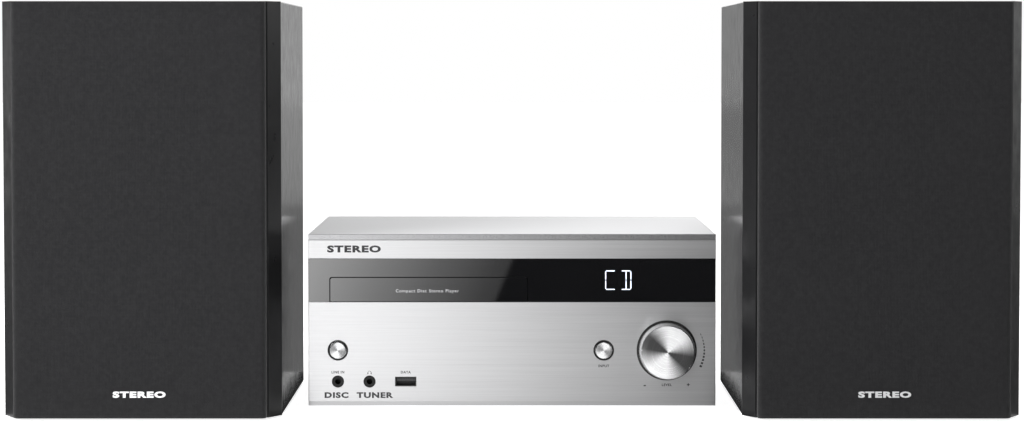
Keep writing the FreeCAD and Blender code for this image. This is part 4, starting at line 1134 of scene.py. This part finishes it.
# ----------------------------------------------------------------- speakers
@dataclass
class Speaker:
    """One speaker's grille cloth and badge.

    Attributes:
        side: left or right.
        corner: the radius of the cloth's upright edges.
        edge: the radius of its top and bottom edges.
        wrap: how far the cloth runs back round the frame.
        skin: how far it stands outside the frame.
        overhang: how far it passes the CAD cloth above and below.
        pull: how much its ends draw in as they turn back.
        badge_height: the badge's capital height.
        badge_stretch: how much wider than usual its letters are.
        badge_rise: the badge's middle above the grille's bottom.
        badge_thickness: half the letters' thickness.
    """

    side: str
    corner: float = 3.5 * MM
    edge: float = 1.2 * MM
    wrap: float = 8.4 * MM
    skin: float = 0.8 * MM
    overhang: float = 0.6 * MM
    pull: float = 0.4
    badge_height: float = 3.6 * MM
    badge_stretch: float = 1.73
    badge_rise: float = 14.4 * MM
    badge_thickness: float = 0.45 * MM

    def build(self, wardrobe: Wardrobe) -> None:
        """Make the cloth and the badge."""
        self.cloth(wardrobe)
        self.badge(wardrobe)

    def cloth(self, wardrobe: Wardrobe) -> bpy.types.Object:
        """The woven cloth, pulled over the frame's front and round its edges."""
        node = f"{self.side}_grille_cloth"
        low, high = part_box(node)
        frame_low, frame_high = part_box(f"{self.side}_grille_frame")
        left, right = frame_low[0] - self.skin, frame_high[0] + self.skin
        middle, half = (left + right) / 2, (right - left) / 2
        path = self.outline(left, right, low[1])
        rows = self.rows(low[2] - self.overhang, high[2] + self.overhang)
        bm = bmesh.new()
        grid = [[bm.verts.new((x - (x - middle) / half * inset * self.pull, y + inset, z))
                 for x, y, _ in path] for z, inset in rows]
        layer = bm.loops.layers.uv.new("weave")
        for j in range(len(rows) - 1):
            for i in range(len(path) - 1):
                face = bm.faces.new((grid[j][i], grid[j][i + 1], grid[j + 1][i + 1], grid[j + 1][i]))
                for loop, (col, row) in zip(face.loops, ((i, j), (i + 1, j), (i + 1, j + 1), (i, j + 1))):
                    loop[layer].uv = (path[col][2], rows[row][0])
        name = f"{self.side}_cloth"
        mesh = bpy.data.meshes.new(name)
        bm.to_mesh(mesh)
        bm.free()
        mesh.polygons.foreach_set("use_smooth", [True] * len(mesh.polygons))
        piece = finish_piece(name, mesh, wardrobe.material(CLOTH), f"{self.side}_grille")
        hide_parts(node)
        return piece

    def outline(self, left: float, right: float, front: float) -> list[tuple[float, float, float]]:
        """The cloth's run round the frame, seen from above.

        Args:
            left: its lowest x.
            right: its highest x.
            front: its front y.

        Returns:
            Points of x, y and the distance run so far.
        """
        turn, across = 6, 24
        angles = [math.pi / 2 * k / turn for k in range(turn + 1)]
        points = [(left, front + self.wrap)]
        points += [(left + self.corner * (1 - math.cos(a)), front + self.corner * (1 - math.sin(a)))
                   for a in angles]
        start, end = left + self.corner, right - self.corner
        points += [(start + (end - start) * k / across, front) for k in range(1, across)]
        points += [(right - self.corner * (1 - math.sin(a)), front + self.corner * (1 - math.cos(a)))
                   for a in angles]
        points.append((right, front + self.wrap))
        run, result, before = 0.0, [], points[0]
        for x, y in points:
            run += math.hypot(x - before[0], y - before[1])
            result.append((x, y, run))
            before = (x, y)
        return result

    def rows(self, bottom: float, top: float) -> list[tuple[float, float]]:
        """The cloth's rows from bottom to top.

        Args:
            bottom: its lowest z.
            top: its highest z.

        Returns:
            Pairs of z and how far the row is set back from the front.
        """
        turn, inside = 5, 20
        rounds = [(self.edge * (1 - math.cos(a)), self.edge * (1 - math.sin(a)))
                  for a in (math.pi / 2 * k / turn for k in range(turn + 1))]
        start, end = bottom + self.edge, top - self.edge
        rows = [(bottom + rise, back) for rise, back in rounds]
        rows += [(start + (end - start) * k / inside, 0.0) for k in range(1, inside)]
        rows += [(top - rise, back) for rise, back in reversed(rounds)]
        return rows

    def badge(self, wardrobe: Wardrobe) -> bpy.types.Object:
        """A generic word in raised metal letters on the grille."""
        low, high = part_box(f"{self.side}_grille_cloth")
        place = ((low[0] + high[0]) / 2, low[1] - 0.05 * MM, low[2] + self.badge_rise)
        name = f"{self.side}_badge"
        mesh = words_mesh(name, "STEREO", self.badge_height, place, self.badge_thickness, 1.15,
                          0.07 * self.badge_height, self.badge_stretch)
        return finish_piece(name, mesh, wardrobe.material(BADGE), f"{self.side}_grille")


# ------------------------------------------------------------------- studio
@dataclass
class Studio:
    """The camera, the pale floor, the soft lights and the cards that the gloss reflects.

    Attributes:
        distance: the camera's distance from the receiver's front.
        height: the camera's height above the floor.
        lens: the focal length on a 36 mm sensor, in millimetres.
        pitch: how far the camera looks down, in degrees.
        shift: the lens's upward shift.
        target: what the lights face.
    """

    distance: float = 2.170
    height: float = 0.229
    lens: float = 119.86
    pitch: float = 3.0
    shift: float = 0.022
    target: Point = (0.0, 0.0, 0.1)

    def camera(self) -> None:
        """Set up the camera."""
        data = bpy.data.cameras.new("camera")
        data.lens = self.lens
        data.sensor_width = 36.0
        data.shift_y = self.shift
        data.clip_start = 0.05
        data.clip_end = 60.0
        eye = bpy.data.objects.new("camera", data)
        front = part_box("fascia_panel")[0][1]
        eye.location = (0.0, front - self.distance, self.height)
        eye.rotation_euler = (math.radians(90.0 - self.pitch), 0.0, 0.0)
        bpy.context.scene.collection.objects.link(eye)
        bpy.context.scene.camera = eye

    def plane(self, name: str, corners: Sequence[Point], material: bpy.types.Material) -> bpy.types.Object:
        """A flat stage piece.

        Args:
            name: its name.
            corners: its four corners in order.
            material: its finish.

        Returns:
            The stage piece.
        """
        mesh = bpy.data.meshes.new(name)
        mesh.from_pydata(corners, [], [tuple(range(len(corners)))])
        mesh.materials.append(material)
        piece = bpy.data.objects.new(name, mesh)
        bpy.context.scene.collection.objects.link(piece)
        return piece

    def floor(self) -> None:
        """The white floor, bright enough to run into the white surroundings."""
        s = Shader("floor")
        s.blend(s.span(s.noise(s.place(), 6.0), 0.0, 1.0), (0.88, 0.88, 0.88), (0.91, 0.91, 0.91))
        s.set(Roughness=0.8, Specular_IOR_Level=0.1, Emission_Color=(1.0, 1.0, 1.0), Emission_Strength=0.86)
        reach = 14.0
        self.plane("floor", [(-reach, -reach, 0.0), (reach, -reach, 0.0), (reach, reach, 0.0),
                             (-reach, reach, 0.0)], s.material)

    def ramp(self, t: Tree, value: bpy.types.NodeSocket, stops: Stops, reach: float) -> bpy.types.NodeSocket:
        """A brightness that runs in straight lines between stops.

        Args:
            t: the tree that it is added to.
            value: where along the ramp it is read.
            stops: pairs of place and brightness, from -reach to reach.
            reach: half the width that the ramp covers.

        Returns:
            The brightness.
        """
        line = t.node("ShaderNodeFloatCurve", {"Value": t.span(value, 0.0, 1.0, -reach, reach)})
        top = max(level for _, level in stops)
        curve = line.mapping.curves[0]
        places = [((x + reach) / (2 * reach), level / top) for x, level in stops]
        curve.points[0].location = (0.0, places[0][1])
        curve.points[1].location = (1.0, places[-1][1])
        for x, level in places:
            if 0.0 < x < 1.0:
                curve.points.new(x, level)
        for point in curve.points:
            point.handle_type = "VECTOR"
        line.mapping.update()
        return t.math("MULTIPLY", line.outputs["Value"], top)

    def card_material(self, name: str, stops: Stops, reach: float, slant: float = 0.0) -> bpy.types.Material:
        """A glow that changes from left to right.

        Args:
            name: the material's name.
            stops: pairs of x in metres and brightness.
            reach: half the width that the ramp covers.
            slant: how far x moves for each metre of height.

        Returns:
            The material.
        """
        made = bpy.data.materials.new(name)
        made.use_nodes = True
        made.node_tree.nodes.clear()
        t = Tree(made.node_tree)
        where = t.parts(t.node("ShaderNodeTexCoord").outputs["Object"])
        lean = t.math("MULTIPLY_ADD", where["Z"], -slant, where["X"])
        glow = t.node("ShaderNodeEmission", {"Strength": self.ramp(t, lean, stops, reach)})
        t.node("ShaderNodeOutputMaterial", {"Surface": glow.outputs["Emission"]})
        return made

    def hide_but_for_gloss(self, piece: bpy.types.Object) -> None:
        """Keep a card out of sight, so that only reflections show it."""
        for ray in ("camera", "diffuse", "shadow", "transmission"):
            setattr(piece, f"visible_{ray}", False)

    def cards(self) -> None:
        """The cards that the gloss and the metal reflect, bright on the left and dark on the right, with
        painted shadow and shade on the floor cards beside, behind and between the parts.
        """
        wide = 2.4  # half the width of the great cards
        outer = 0.325  # just outside the speakers
        inner, seam = 0.13, 0.148  # the receiver's side and the speakers' inner side
        low = 0.001  # the lying cards' height
        stand, strip_top = -0.90, 0.075
        ceiling, far_end = 2.4, 13.8
        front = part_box("fascia_panel")[0][1]
        apron = front - 0.055
        behind, beyond = 0.17, 2.9

        metal = [(-wide, 0.22), (-0.45, 0.25), (-0.26, 0.82), (-0.178, 0.92), (-0.12, 1.03), (-0.075, 1.04),
                 (-0.011, 0.90), (0.042, 0.70), (0.094, 0.54), (0.17, 0.17), (0.4, 0.10), (wide, 0.15)]
        streak = [(-0.6, 4.6), (-0.192, 4.0), (-0.134, 2.35), (-0.085, 1.28), (-0.034, 0.54), (-0.0200, 0.46),
                  (-0.0190, 0.04), (0.6, 0.03)]
        wall = self.card_material("wall_glow", metal, wide)
        strip = self.card_material("strip_glow", streak, 0.6, 0.42)
        ground = self.card_material("floor_glow", metal, wide)
        near = self.card_material("near_glow", [(x, 0.72 * value) for x, value in metal], wide)
        # Painted floor shadow: a dim card that only the gloss sees, in place of shadowed floor beside and
        # behind the set.
        painted_floor_shadow = self.card_material("painted_floor_shadow_glow", [(-wide, 0.18), (wide, 0.18)], wide)
        far = self.card_material("far_glow", [(-wide, 0.2), (-0.25, 0.23), (0.25, 0.38), (wide, 0.4)], wide)
        sky = [(-wide, 0.3), (-0.5, 0.45), (0.0, 1.15), (0.5, 2.0), (wide, 2.0)]
        high = self.card_material("high_glow", sky, wide)
        # Painted shade: a near-black card that only the gloss sees, in the narrow gaps between the receiver
        # and the speakers, in place of the shade there.
        gap = self.card_material("painted_gap_shade_glow", [(-wide, 0.03), (wide, 0.03)], wide)

        standing = (("wall_card", stand, strip_top, 2.6, wall), ("strip_card", stand, low, strip_top, strip),
                    ("high_card", 1.5, 0.32, ceiling, high))
        lying = (("front_card", -wide, wide, stand, apron, ground),
                 ("near_card", -inner, inner, apron, front + 0.02, near),
                 ("left_gap_card", -seam, -inner, apron, behind, gap),
                 ("right_gap_card", inner, seam, apron, behind, gap),
                 ("left_card", -4.0, -outer, apron, beyond, painted_floor_shadow),
                 ("right_card", outer, 4.0, apron, beyond, painted_floor_shadow),
                 ("back_card", -outer, outer, behind, beyond, painted_floor_shadow),
                 ("far_card", -wide, wide, beyond, far_end, far))
        for name, y, bottom, top, material in standing:
            corners = [(-wide, y, bottom), (wide, y, bottom), (wide, y, top), (-wide, y, top)]
            self.hide_but_for_gloss(self.plane(name, corners, material))
        for name, left, right, start, end, material in lying:
            corners = [(left, start, low), (right, start, low), (right, end, low), (left, end, low)]
            self.hide_but_for_gloss(self.plane(name, corners, material))

    def area(self, name: str, place: Point, size: float, power: float) -> None:
        """A square soft light that faces the object.

        Args:
            name: its name.
            place: where it hangs.
            size: its side.
            power: its power in watts.
        """
        data = bpy.data.lights.new(name, "AREA")
        data.size = size
        data.energy = power
        lamp = bpy.data.objects.new(name, data)
        lamp.location = place
        lamp.visible_glossy = False
        lamp.rotation_euler = (Vector(self.target) - Vector(place)).to_track_quat("-Z", "Y").to_euler()
        bpy.context.scene.collection.objects.link(lamp)

    def lights(self) -> None:
        """The soft lights and the surroundings, white to the camera and dimmer elsewhere."""
        self.area("key", (-1.1, -1.05, 0.8), 0.8, 46.0)
        self.area("top", (0.4, -0.1, 2.2), 1.8, 30.0)
        self.area("fill", (2.2, -1.4, 1.2), 1.4, 2.2)
        world = bpy.data.worlds.new("surroundings")
        world.use_nodes = True
        t = Tree(world.node_tree)
        across = t.parts(t.node("ShaderNodeTexCoord").outputs["Generated"])["X"]
        stops = ((-1.0, 0.22), (-0.8, 0.30), (-0.5, 0.42), (-0.2, 0.30), (-0.0645, 0.33), (0.0645, 0.50),
                 (0.2, 0.40), (0.5, 0.12), (1.0, 0.12))
        seen = t.node("ShaderNodeLightPath").outputs["Is Camera Ray"]
        level = t.node("ShaderNodeMix", {"Factor": seen, "A": self.ramp(t, across, stops, 1.0), "B": 1.0})
        back = t.tree.nodes["Background"]
        t.feed(back.inputs["Strength"], level.outputs["Result"])
        t.feed(back.inputs["Color"], (1.0, 1.0, 1.0, 1.0))
        bpy.context.scene.world = world

    def build(self) -> None:
        """Set up everything round the object."""
        bpy.context.scene.view_settings.view_transform = "Standard"
        self.camera()
        self.floor()
        self.cards()
        self.lights()


def main() -> None:
    """Build the looks of the whole set."""
    logging.basicConfig(level=logging.INFO, format="%(name)s: %(message)s")
    studio = Studio()
    studio.build()
    wardrobe = Wardrobe()
    wardrobe.dress_all()
    controls = Controls()
    controls.faces(wardrobe)
    controls.level_arc(wardrobe)
    FrontPrint().build(wardrobe)
    DisplayCharacters().build(wardrobe)
    RearRings().build(wardrobe)
    for side in SIDES:
        Speaker(side).build(wardrobe)


if __name__ == "__main__":
    main()
